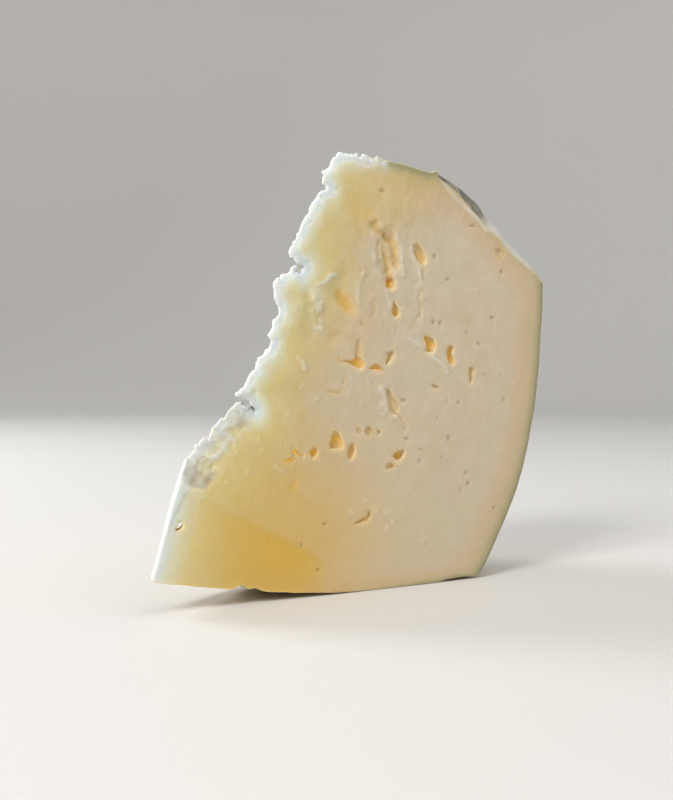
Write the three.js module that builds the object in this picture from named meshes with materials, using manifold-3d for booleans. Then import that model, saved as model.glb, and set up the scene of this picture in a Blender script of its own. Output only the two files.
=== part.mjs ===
// A wedge of semi-hard cheese: about a twelfth of a small wheel, standing on the wheel's lower rind.
//
// The wheel was cut by two upright knife strokes that meet in a thin, leaning tip edge. Each stroke left a
// flat cut face with small irregular eyes (gas holes) in it. The rim, the shaved upper shoulder, the top and
// the gently domed underside are what is left of the wheel's outside. The upper part of the thin tip has
// broken away along a jagged line, and the break slopes back from the front face, so its edge is a feather.
//
// Millimetres, +Z up. The front cut face lies in a plane of constant Y and looks along -Y, +X runs across
// that face from the thin tip to the rim, and the origin is under the middle of the wedge's box.
// A profile point is (x, z) on the front face, with x measured from the foot of the tip edge.

import * as THREE from "three";
import { mergeVertices } from "three/addons/utils/BufferGeometryUtils.js";
import Module from "manifold-3d";

const wasm = await Module();
wasm.setup();

// ---- driving dimensions -------------------------------------------------------------------------------
const WEDGE_ANGLE = THREE.MathUtils.degToRad(30); // between the two cut faces
const TIP_FOOT_Z = 7.2; // the domed underside lifts the foot of the tip off the table
const TIP_LEAN = 0.3; // the tip edge leans towards the rim by this much for each mm of height
const TIP_SETBACK = 2.5; // the two cutting planes meet this far outside the real tip edge
const FLAT_START_X = 56; // the underside lies flat on the table from here
const FLAT_END_X = 88; // to here, where the rim begins
const WHEEL_HEIGHT = 105; // underside to top, at the broken corner
const TOP_START_X = 47; // the top is level from the tip to here, and falls gently from here to the shoulder
const UNDERSIDE_PULL = [37, 0]; // the domed underside is a curve pulled towards this point
const TOP_PULL = [60, 104]; // and so is the fall of the top
const DEPTH_STEPS = 10; // slices from the front face to the back face
const CURVE_STEPS = 10; // straight pieces in each curve of the profile
const EYE_ROUND = 12; // sides of an eye round its mouth
const EYE_DEEP = 8; // and rows from its mouth to its floor and on
const WELD = 1e-4; // corners closer than this are one corner
const BREAK_FOOT_Z = 32.6; // the clean tip edge is left below this height
const BREAK_SLOPE = 0.85; // how far the break recedes towards the rim for each mm of depth
const BREAK_RISE = 0.2; // how far its steps climb for each mm of depth
const SHAVE_TURN = THREE.MathUtils.degToRad(50); // how far the shaved corner of the shoulder faces front

// The rim bulges between the underside and the shoulder.
const RIM = [
  [94.2, 9.3],
  [98.8, 18.2],
  [103.0, 30],
  [106.5, 45],
  [108.1, 61],
  [108.3, 76.6],
];

// The shoulder was pared with a knife; it ends at the top face.
const SHOULDER = [
  [99.6, 84.6],
  [89.6, 95.4],
  [75.2, 102.1],
];

// Its front corner was pared once more, in one flat stroke that leaves the front face along this line.
const SHAVE_FROM = [74.9, 101.7];
const SHAVE_TO = [107.5, 75.3];
const SHAVE_OVERRUN = 1.5; // the stroke is this many times as long as that line, so that it clears both ends

// The broken edge on the front face, from the top down to where the clean tip edge starts.
const BREAK_LINE = [
  [49.0, 106.0],
  [46.8, 104.7],
  [45.8, 103.4],
  [44.2, 101.2],
  [42.3, 98.2],
  [43.8, 96.2],
  [41.2, 94.2],
  [39.0, 90.2],
  [36.5, 85.9],
  [35.1, 82.5],
  [33.4, 80.5],
  [35.8, 77.8],
  [33.8, 76.5],
  [30.8, 75.2],
  [29.8, 72.6],
  [30.0, 69.9],
  [31.2, 67.8],
  [29.3, 64.2],
  [27.6, 61.4],
  [29.2, 60.2],
  [28.4, 58.4],
  [25.6, 56.2],
  [24.9, 54.0],
  [22.4, 51.0],
  [20.2, 48.6],
  [23.8, 45.2],
  [19.4, 45.8],
  [17.2, 43.3],
  [14.2, 40.4],
  [11.4, 38.0],
  [11.0, 36.5],
  [8.7, 34.8],
  [7.2, BREAK_FOOT_Z],
];

// Eyes: x and z of the middle on the face, width, height, tilt in degrees and depth.
const FRONT_EYES = [
  [61.4, 81.6, 2.6, 9.6, 14, 1.8],
  [61.5, 74.2, 2.6, 2.3, 0, 2.0],
  [70.1, 81.8, 2.6, 4.9, 18, 1.8],
  [62.8, 68.1, 2.2, 3.2, 8, 1.9],
  [72.7, 59.5, 3.5, 3.7, 0, 2.3],
  [79.2, 56.8, 2.2, 4.4, 6, 1.8],
  [85.6, 52.0, 2.2, 3.6, 20, 1.6],
  [51.5, 55.6, 4.6, 2.5, -18, 1.9],
  [57.3, 53.9, 3.4, 1.7, -20, 1.6],
  [61.0, 56.7, 2.0, 3.1, -12, 1.7],
  [49.2, 69.3, 3.8, 5.4, 32, 1.8],
  [61.6, 46.2, 2.4, 5.6, 14, 1.6],
  [46.1, 36.8, 3.7, 4.0, 12, 2.2],
  [50.1, 34.1, 2.1, 3.6, -8, 1.7],
  [39.8, 34.0, 2.2, 2.3, 0, 1.7],
  [63.8, 32.5, 3.3, 2.6, -24, 2.1],
];
const BACK_EYES = [
  [38.0, 22.0, 3.4, 2.8, 20, 2.0],
  [52.0, 31.0, 2.4, 4.6, -16, 1.8],
  [60.0, 47.0, 4.0, 3.2, 8, 2.3],
  [69.0, 58.0, 2.6, 3.0, 0, 2.0],
  [74.0, 38.0, 3.0, 4.8, 24, 1.9],
  [80.0, 66.0, 2.2, 3.4, -12, 1.7],
  [64.0, 72.0, 3.6, 2.4, 30, 1.9],
  [72.0, 84.0, 2.4, 4.0, 10, 1.7],
  [86.0, 50.0, 2.6, 2.4, 0, 1.8],
  [88.0, 26.0, 2.2, 3.2, -20, 1.6],
  [56.0, 88.0, 2.8, 3.6, 16, 1.8],
];
const SEE_THROUGH = [6.2, 19.3, 2.2, 2.4, -30, 6]; // a pinhole that goes right through the thin tip

// ---- helpers ------------------------------------------------------------------------------------------

// x of the line in which the two cutting planes meet, at height z.
function axisX(z) {
  return (z - TIP_FOOT_Z) * TIP_LEAN - TIP_SETBACK;
}

// Carries a profile point round the tip line, level by level, to the share t of the wedge angle.
function swing(x, z, t) {
  const reach = x - axisX(z);
  const turn = WEDGE_ANGLE * t;
  return [axisX(z) + reach * Math.cos(turn), reach * Math.sin(turn), z];
}

// A closed geometry as a manifold-3d solid.
function toSolid(geometry) {
  const bare = geometry.clone();
  bare.deleteAttribute("normal");
  bare.deleteAttribute("uv");
  const merged = mergeVertices(bare, WELD);
  return new wasm.Manifold(
    new wasm.Mesh({
      numProp: 3,
      vertProperties: merged.attributes.position.array,
      triVerts: new Uint32Array(merged.index.array),
    }),
  );
}

// A solid back as a geometry.
function toGeometry(solid) {
  const { vertProperties, triVerts } = solid.getMesh();
  const geometry = new THREE.BufferGeometry();
  geometry.setAttribute("position", new THREE.BufferAttribute(vertProperties, 3));
  geometry.setIndex(new THREE.BufferAttribute(triVerts, 1));
  geometry.computeVertexNormals();
  return geometry;
}

// An ExtrudeGeometry whose slices stand in XZ planes, each point (x, z, share of depth) moved by place.
function sweep(shape, steps, place) {
  const settings = { depth: 1, steps, bevelEnabled: false, curveSegments: CURVE_STEPS };
  const geometry = new THREE.ExtrudeGeometry(shape, settings);
  const position = geometry.attributes.position;
  for (let i = 0; i < position.count; i++) {
    position.setXYZ(i, ...place(position.getX(i), position.getY(i), position.getZ(i)));
  }
  // (x, z, depth) read as (x, y, z) is a mirror image, so each face is turned round.
  const index = [];
  for (let i = 0; i < position.count; i += 3) index.push(i, i + 2, i + 1);
  geometry.setIndex(index);
  return geometry;
}

// ---- the wedge as the knife left it -------------------------------------------------------------------
function wholeWedge() {
  const outline = new THREE.Shape();
  outline.moveTo(0, TIP_FOOT_Z);
  outline.quadraticCurveTo(...UNDERSIDE_PULL, FLAT_START_X, 0);
  outline.lineTo(FLAT_END_X, 0);
  outline.splineThru(RIM.map(([x, z]) => new THREE.Vector2(x, z)));
  for (const [x, z] of SHOULDER) outline.lineTo(x, z);
  outline.quadraticCurveTo(...TOP_PULL, TOP_START_X, WHEEL_HEIGHT);
  outline.lineTo((WHEEL_HEIGHT - TIP_FOOT_Z) * TIP_LEAN, WHEEL_HEIGHT);
  return sweep(outline, DEPTH_STEPS, swing);
}

// ---- the piece that broke away ------------------------------------------------------------------------
function brokenPiece() {
  const outline = new THREE.Shape();
  outline.moveTo(...BREAK_LINE[0]);
  for (const [x, z] of BREAK_LINE.slice(1)) outline.lineTo(x, z);
  const outside = -40; // well clear of the tip on the left
  outline.lineTo(outside, BREAK_FOOT_Z);
  outline.lineTo(outside, BREAK_LINE[0][1]);
  const front = -2; // from just before the front face
  const back = 40; // to well behind the back face
  return sweep(outline, 1, (x, z, share) => {
    const depth = front + share * (back - front);
    return [x + depth * BREAK_SLOPE, depth, z + depth * BREAK_RISE];
  });
}

// ---- the sliver pared off the front corner of the shoulder --------------------------------------------
function shaving() {
  const run = new THREE.Vector2(...SHAVE_TO).sub(new THREE.Vector2(...SHAVE_FROM));
  const size = run.length();
  const geometry = new THREE.BoxGeometry(size * SHAVE_OVERRUN, size, size);
  geometry.translate(0, 0, size / 2);
  geometry.rotateX(SHAVE_TURN);
  geometry.rotateY(-run.angle());
  geometry.translate((SHAVE_FROM[0] + SHAVE_TO[0]) / 2, 0, (SHAVE_FROM[1] + SHAVE_TO[1]) / 2);
  return geometry;
}

// ---- eyes ---------------------------------------------------------------------------------------------
function eye([x, z, width, height, tilt, depth], face) {
  const geometry = new THREE.SphereGeometry(1, EYE_ROUND, EYE_DEEP);
  geometry.scale(width / 2, depth, height / 2);
  geometry.rotateY(THREE.MathUtils.degToRad(tilt));
  geometry.rotateZ(WEDGE_ANGLE * face);
  geometry.translate(...swing(x, z, face));
  return toSolid(geometry);
}

// ---- assembly -----------------------------------------------------------------------------------------
let paste = toSolid(wholeWedge()).subtract(toSolid(brokenPiece())).subtract(toSolid(shaving()));
for (const hole of [...FRONT_EYES, SEE_THROUGH]) paste = paste.subtract(eye(hole, 0));
for (const hole of BACK_EYES) paste = paste.subtract(eye(hole, 1));

const geometry = toGeometry(paste);
geometry.computeBoundingBox();
const { min, max } = geometry.boundingBox;
geometry.translate(-(min.x + max.x) / 2, -(min.y + max.y) / 2, 0);

const cheese = new THREE.Mesh(
  geometry,
  new THREE.MeshStandardMaterial({ color: 0xd9bd86, roughness: 0.5, metalness: 0 }),
);
cheese.name = "cheese_wedge";

const wedge = new THREE.Group();
wedge.add(cheese);

export default wedge;
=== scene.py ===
# %% [markdown]
# # A wedge of semi-hard cheese
#
# The wedge is one natural body: paste that set in a mould, cut out of the wheel by two upright knife strokes.
# Its looks are in four things: a flat, faintly smeared cut face with ragged little eyes, a thin tip that lets
# light through, a crumbly break where the top of the tip has gone, and the outside of the wheel.
#
# The whole skin is made as one closed mesh out of three kinds of surface. A wall runs round the outline from
# the front cut face to the back one, a cap closes each cut face, and a small bowl is sewn into each eye.

import bpy
import numpy as np
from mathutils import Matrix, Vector
from mathutils.geometry import delaunay_2d_cdt


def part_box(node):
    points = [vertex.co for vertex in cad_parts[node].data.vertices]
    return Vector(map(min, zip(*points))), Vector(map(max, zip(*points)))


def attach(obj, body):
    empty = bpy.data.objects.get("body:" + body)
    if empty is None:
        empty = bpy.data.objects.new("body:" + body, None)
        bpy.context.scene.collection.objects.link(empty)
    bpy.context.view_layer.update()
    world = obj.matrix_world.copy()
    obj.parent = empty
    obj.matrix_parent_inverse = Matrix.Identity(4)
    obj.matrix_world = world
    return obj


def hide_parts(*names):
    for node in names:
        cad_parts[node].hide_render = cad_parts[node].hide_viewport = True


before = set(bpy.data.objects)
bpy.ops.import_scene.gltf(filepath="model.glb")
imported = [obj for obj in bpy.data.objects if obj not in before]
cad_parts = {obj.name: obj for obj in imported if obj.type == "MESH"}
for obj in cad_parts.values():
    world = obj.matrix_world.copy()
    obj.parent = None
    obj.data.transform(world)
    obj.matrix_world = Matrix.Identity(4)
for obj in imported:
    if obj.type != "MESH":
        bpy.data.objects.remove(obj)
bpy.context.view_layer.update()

# %% [markdown]
# ## The wedge's own coordinates
#
# A maker would measure the wedge on its front cut face: x from the foot of the tip towards the rim, y into
# the cheese, z up, all in millimetres. The two cuts meet in a leaning line a little outside the real tip, so a
# slice at any height is a piece of a pie whose point is on that line. That makes a polar description natural:
# the reach from the line and the turn from the front face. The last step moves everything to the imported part's
# place, which is read from its box.

# %% Sizes that everything else is worked out from
MM = 0.001
WEDGE = np.radians(30.0)  # angle between the two cut faces
TIP_FOOT = 7.2  # height of the foot of the tip
TIP_LEAN = 0.3  # lean of the tip line towards the rim
TIP_SETBACK = 2.5  # the tip line lies this far outside the real tip edge
THICK_FULL = 30  # the thickness mask is 1 here
BREAK_SLOPE = 0.85  # how far the break recedes for each mm of depth
BREAK_FOOT = 31.8  # the clean tip edge ends at this height

low, high = (np.array(corner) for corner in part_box("cheese_wedge"))
SHIFT = np.array([low[0] / MM + TIP_SETBACK * (1 - np.cos(WEDGE)), low[1] / MM, low[2] / MM])
print("the foot of the tip is at", (SHIFT * MM).round(4), "m")


def tip_line(z):
    """x of the line where the two cuts meet, at height z: it leans by TIP_LEAN for each mm."""
    return (z - TIP_FOOT) * TIP_LEAN - TIP_SETBACK


def reach_of(loop):
    """Level distance of the outline's points from the tip line."""
    return loop[:, 0] - tip_line(loop[:, 1])


# %% [markdown]
# ## Noise
#
# Every rough surface here needs noise that is the same each time the script runs. Blender's texture nodes
# could give it to a material, but the edges and the break need it in the mesh itself. So this is plain value
# noise: repeatable numbers on the corners of a lattice of cubes, blended smoothly inside each cube.

# %% Value noise on whole arrays
def lattice(cells, seed):
    """Repeatable numbers from -1 to 1: a cell's three whole numbers are multiplied by large odd numbers, mixed
    bit by bit with the seed, and the low bits are read as a fraction."""
    c = cells.astype(np.uint64)
    mixed = c[..., 0] * np.uint64(0x9E3779B1) ^ c[..., 1] * np.uint64(0x85EBCA77)
    mixed = mixed ^ c[..., 2] * np.uint64(0xC2B2AE3D) ^ np.uint64(seed * 0x27D4EB2F)
    mixed = (mixed ^ (mixed >> np.uint64(15))) * np.uint64(0x2C1B3C6D)
    mixed = mixed ^ (mixed >> np.uint64(13))
    return (mixed & np.uint64(0xFFFF)).astype(float) / 32767.5 - 1


def noise(points, size, seed):
    """Value noise: the eight corner values of a cube of the given size, blended along each axis by
    6t^5 - 15t^4 + 10t^3."""
    q = np.asarray(points, float) / size
    base = np.floor(q)
    t = q - base
    t = t**3 * (t * (t * 6 - 15) + 10)
    total = 0
    for corner in np.ndindex(2, 2, 2):
        pick = np.array(corner)
        weight = np.prod(np.where(pick == 1, t, 1 - t), axis=-1)
        total = total + weight * lattice(base.astype(np.int64) + pick, seed)
    return total


def fractal(points, size, seed, octaves=4, fade=0.5):
    """Value noise summed over octaves, each half the size of the last and weaker by fade."""
    return sum(fade**i * noise(points, size / 2**i, seed + 17 * i) for i in range(octaves))


def on_face(x, z, depth=0.0):
    """Face coordinates as points for the noise."""
    return np.column_stack([x, np.full(len(x), depth), z])


def smoothstep(start, end, value):
    """0 before start, 1 after end, and 3t^2 - 2t^3 between them."""
    t = np.clip((value - start) / (end - start), 0, 1)
    return t * t * (3 - 2 * t)


print("noise test:", noise(np.array([[1.0, 2.0, 3.0]]), 2.5, 1).round(4))


# %% [markdown]
# ## Lines on the face
#
# Outlines, scratches and eyes all start as a few listed points. Three helpers turn them into arrays: a
# smooth curve through the points, an even walk along it, and the distance of many points from such a line.

# %% Curves, walks and distances
def smooth_curve(points, per_leg=10, closed=False):
    """Catmull-Rom curve: between two points it follows the cubic that leaves and arrives parallel to the
    chord of the neighbouring points."""
    p = np.asarray(points, float)
    if closed:
        p = np.vstack([p[-1], p, p[0], p[1]])
    else:
        p = np.vstack([2 * p[0] - p[1], p, 2 * p[-1] - p[-2]])
    t = np.linspace(0, 1, per_leg, endpoint=False)[None, :, None]
    a, b, c, d = (p[i : len(p) - 3 + i, None, :] for i in range(4))
    curve = 0.5 * (2 * b + (c - a) * t + (2 * a - 5 * b + 4 * c - d) * t**2 + (3 * b - a - 3 * c + d) * t**3)
    curve = curve.reshape(-1, p.shape[1])
    return curve if closed else np.vstack([curve, p[-2]])


def walk(points, step, closed=False):
    """Points about every step mm along straight legs, with both ends kept."""
    p = np.asarray(points, float)
    if closed:
        p = np.vstack([p, p[0]])
    travelled = np.r_[0, np.cumsum(np.linalg.norm(np.diff(p, axis=0), axis=1))]
    at = np.linspace(0, travelled[-1], max(int(round(travelled[-1] / step)), 1) + 1)
    even = np.column_stack([np.interp(at, travelled, p[:, i]) for i in range(2)])
    return even[:-1] if closed else even


def bezier(a, b, c, count=40):
    """Quadratic Bezier curve: (1-t)^2 a + 2t(1-t) b + t^2 c."""
    t = np.linspace(0, 1, count)[:, None]
    return (1 - t) ** 2 * np.array(a) + 2 * t * (1 - t) * np.array(b) + t**2 * np.array(c)


def distance_to(x, z, line):
    """Distance of every point from a chain of straight legs: the nearest foot on any leg."""
    line = np.asarray(line, float)
    nearest = np.full(len(x), np.inf)
    for (ax, az), (bx, bz) in zip(line[:-1], line[1:]):
        dx, dz = bx - ax, bz - az
        share = np.clip(((x - ax) * dx + (z - az) * dz) / (dx * dx + dz * dz + 1e-12), 0, 1)
        nearest = np.minimum(nearest, np.hypot(x - ax - share * dx, z - az - share * dz))
    return nearest


def inside(x, z, ring):
    """Even-odd test: a point is inside when a line to its right crosses the ring an odd number of times."""
    odd = np.zeros(len(x), bool)
    ring = np.asarray(ring, float)
    for (ax, az), (bx, bz) in zip(ring, np.roll(ring, -1, axis=0)):
        if az != bz:
            crosses = (az > z) != (bz > z)
            odd ^= crosses & (x < (bx - ax) * (z - az) / (bz - az) + ax)
    return odd


# %% [markdown]
# ## The outline of the front cut face
#
# The outline goes round once, counter-clockwise as one looks at the face: underside, rim, pared shoulder, top,
# break, clean tip. The outside of the wheel is smooth, so a few points and curves are enough. The break is
# not: a thin crust of paste tore away there, so its edge is a chain of small flakes, notches and one crack,
# each of which needs its own corner.

# %% Points of the outline, in mm on the face
UNDERSIDE_CURVE = [(0, TIP_FOOT), (37, 0), (56, 0)]
NICK = [(19.4, 3.8), (20.4, 4.1), (20.9, 4.8), (22.0, 4.7), (22.7, 3.6), (23.6, 3.3), (25.3, 3.9),
        (26.0, 2.9)]
HEEL = [(56, 0), (76.4, 0), (78.3, 0.6), (83, 0.8), (87.9, 0.4)]
RIM = [(87.9, 0.4), (90.2, 3.4), (93.7, 9.3), (99.1, 19.3), (102.9, 29.6), (105.5, 40.0), (107.1, 50.4),
       (108.0, 60.9), (108.5, 70.4), (108.5, 76.4)]
SHOULDER = [(108.5, 76.4), (107.3, 78.6), (105.0, 80.6), (102.3, 82.6), (99.8, 84.5), (97.4, 86.4),
            (95.9, 88.4), (93.4, 90.3), (91.4, 92.0), (90.4, 94.1), (88.9, 95.9), (85.0, 97.9),
            (81.3, 99.6), (77.3, 101.3), (75.3, 102.0)]
TOP = [(75.3, 102.0), (74.3, 102.5), (73.4, 101.8), (68.6, 102.6), (65.1, 103.3), (59.0, 103.8)]
CRUST = [(59.0, 103.8), (57.4, 104.8), (56.3, 103.9), (55.1, 104.5), (53.7, 104.6), (52.9, 104.1),
         (51.9, 104.8), (50.3, 105.0), (48.6, 104.4), (47.0, 104.6), (46.3, 103.3), (44.8, 102.7)]
BREAK = [(44.8, 102.7), (44.0, 100.9), (42.3, 99.8), (43.1, 99.0), (42.5, 97.1), (43.7, 96.9), (44.1, 95.9),
         (43.3, 95.3), (42.2, 95.4), (41.0, 93.6), (39.2, 90.6), (37.1, 87.0), (36.4, 84.9), (35.5, 84.0),
         (34.9, 82.4), (33.5, 80.5), (35.2, 78.8), (36.2, 78.3), (37.6, 77.9), (37.8, 77.3), (37.3, 76.7),
         (36.8, 75.9), (35.3, 76.2), (35.8, 77.0), (35.4, 77.7), (34.4, 77.0), (33.1, 76.1), (31.9, 75.4),
         (31.3, 74.2), (30.8, 74.6), (30.2, 73.4), (29.8, 71.2), (30.4, 69.3), (31.3, 68.3), (30.9, 66.2),
         (29.5, 64.8), (28.7, 62.4), (27.8, 61.3), (29.0, 60.4), (28.7, 58.0), (27.5, 57.6), (26.0, 56.6),
         (25.2, 55.3), (25.0, 53.8), (23.7, 52.7), (22.5, 50.3), (21.7, 49.3), (20.2, 47.9), (22.6, 47.1),
         (24.1, 45.6), (25.2, 44.4), (24.9, 43.7), (23.6, 44.0), (22.3, 45.4), (20.6, 45.9), (18.8, 44.8),
         (17.4, 43.0), (16.0, 41.6), (14.9, 40.6), (14.1, 39.8), (13.6, 38.2), (13.2, 37.7), (12.6, 38.3),
         (12.0, 37.7), (11.0, 36.2), (10.4, 35.9), (8.4, 34.2), (7.4, BREAK_FOOT)]
TIP = [(7.4, BREAK_FOOT), (6.3, 29.2), (4.9, 25.1), (3.6, 20.7), (2.4, 16.4), (1.1, 11.9), (0.1, 8.6),
       (0, TIP_FOOT)]


# %% Walk round the outline
def underside():
    """The curve of the domed underside with the little nick let into it."""
    curve = bezier(*UNDERSIDE_CURVE)
    before = curve[curve[:, 0] < NICK[0][0]]
    after = curve[curve[:, 0] > NICK[-1][0]]
    return np.vstack([before, NICK, after, HEEL[1:]])


SECTIONS = [
    ("underside", underside(), 0.6),
    ("rim", smooth_curve(RIM), 0.75),
    ("shoulder", np.array(SHOULDER), 0.5),
    ("top", np.array(TOP), 0.4),
    ("crust", np.array(CRUST), 0.24),
    ("break", np.array(BREAK), 0.22),
    ("tip", smooth_curve(TIP), 0.45),
]
walked = [walk(points, step)[:-1] for _, points, step in SECTIONS]
section = np.concatenate([[name] * len(points) for (name, *_), points in zip(SECTIONS, walked)])
outline = np.vstack(walked)
COUNT = len(outline)
along = {name: np.linspace(0, 1, (section == name).sum(), endpoint=False) for name, *_ in SECTIONS}
print("outline points:", COUNT, {name: int((section == name).sum()) for name, *_ in SECTIONS})


# %% [markdown]
# ## Where the outline is torn, pared or rounded
#
# Each point of the outline carries a few numbers that say what the edge does there. How torn it is decides
# how rough the edge is and how fast its flakes die out with depth. How straight it is decides whether the wall
# behind it follows the round of the wheel or slopes back as a break does. The pared shoulder has a wide flat
# bevel on its front corner, and the other edges are only slightly rounded by handling.

# %% Numbers along the outline
def along_section(name, values):
    """Zeros all round the outline, with the given values on one section."""
    result = np.zeros(COUNT)
    result[section == name] = values
    return result


on_break = (section == "break").astype(float)
near_foot = smoothstep(BREAK_FOOT, BREAK_FOOT + 4, outline[:, 1])
torn = on_break * near_foot + along_section("crust", smoothstep(0, 0.5, along["crust"]))
straight = on_break * smoothstep(BREAK_FOOT, BREAK_FOOT + 9, outline[:, 1])
straight += along_section("top", 0.45 * along["top"]) + along_section("crust", 0.45 + 0.55 * along["crust"])
in_nick = (section == "underside") * smoothstep(2.5, 0.5, np.abs(outline[:, 0] - 22.7) - 2.2)
bump = np.sin(np.pi * along["shoulder"]) ** 0.5
peak = np.exp(-(((along["shoulder"] - 0.66) / 0.12) ** 2))
paring = along_section("shoulder", 0.9 + 1.3 * bump + 1.5 * peak)
pared = along_section("shoulder", np.clip(3 * bump, 0, 1))
rounding = 0.32 * (1 - torn) * (1 - 0.6 * in_nick)
edge_in = np.maximum(paring, rounding)
edge_deep = np.maximum(0.84 * paring, rounding)

# %% Flakes: push the torn part of the outline in and out
def sideways(loop, reach=2):
    """Unit vectors square to a closed loop, pointing outwards: the tangent over a few points, turned."""
    tangent = np.roll(loop, -reach, axis=0) - np.roll(loop, reach, axis=0)
    tangent /= np.linalg.norm(tangent, axis=1, keepdims=True) + 1e-12
    return np.column_stack([tangent[:, 1], -tangent[:, 0]])


def blur(loop, width):
    """Weighted mean of the neighbours on a closed loop, with a bell curve of the given width in points."""
    offsets = np.arange(-3 * width, 3 * width + 1)
    weights = np.exp(-0.5 * (offsets / width) ** 2)
    total = sum(w * np.roll(loop, -o, axis=0) for o, w in zip(offsets, weights))
    return total / weights.sum()


calm = blur(outline, 1)
softened = (1 - torn)[:, None] * calm + torn[:, None] * outline
flake = 0.24 * noise(on_face(*outline.T), 1.2, 3) + 0.16 * noise(on_face(*outline.T), 0.5, 4)
flake += 0.45 * (1 - np.abs(noise(on_face(*outline.T), 2.2, 6))) ** 8 - 0.06  # a few sharp points
ripple = 0.06 * noise(on_face(*outline.T), 2.5, 5)
span = np.linalg.norm(np.roll(softened, -4, axis=0) - np.roll(softened, 4, axis=0), axis=1)
open_enough = np.clip(span / 1.7, 0, 1) ** 3  # no flakes in a hairpin bend, where they would cross
front_edge = softened + sideways(softened, 4) * (torn * flake * open_enough + (1 - torn) * ripple)[:, None]
broad = blur(front_edge, 14)
fading = np.maximum(torn, along_section("shoulder", smoothstep(0.8, 1, along["shoulder"])))
fading[(section == "top") | (section == "crust")] = 1  # edges whose detail doesn't reach the back face
back_line = (1 - fading)[:, None] * front_edge + fading[:, None] * broad
print("widest flake, mm:", np.abs(torn * flake).max().round(3))
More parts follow.
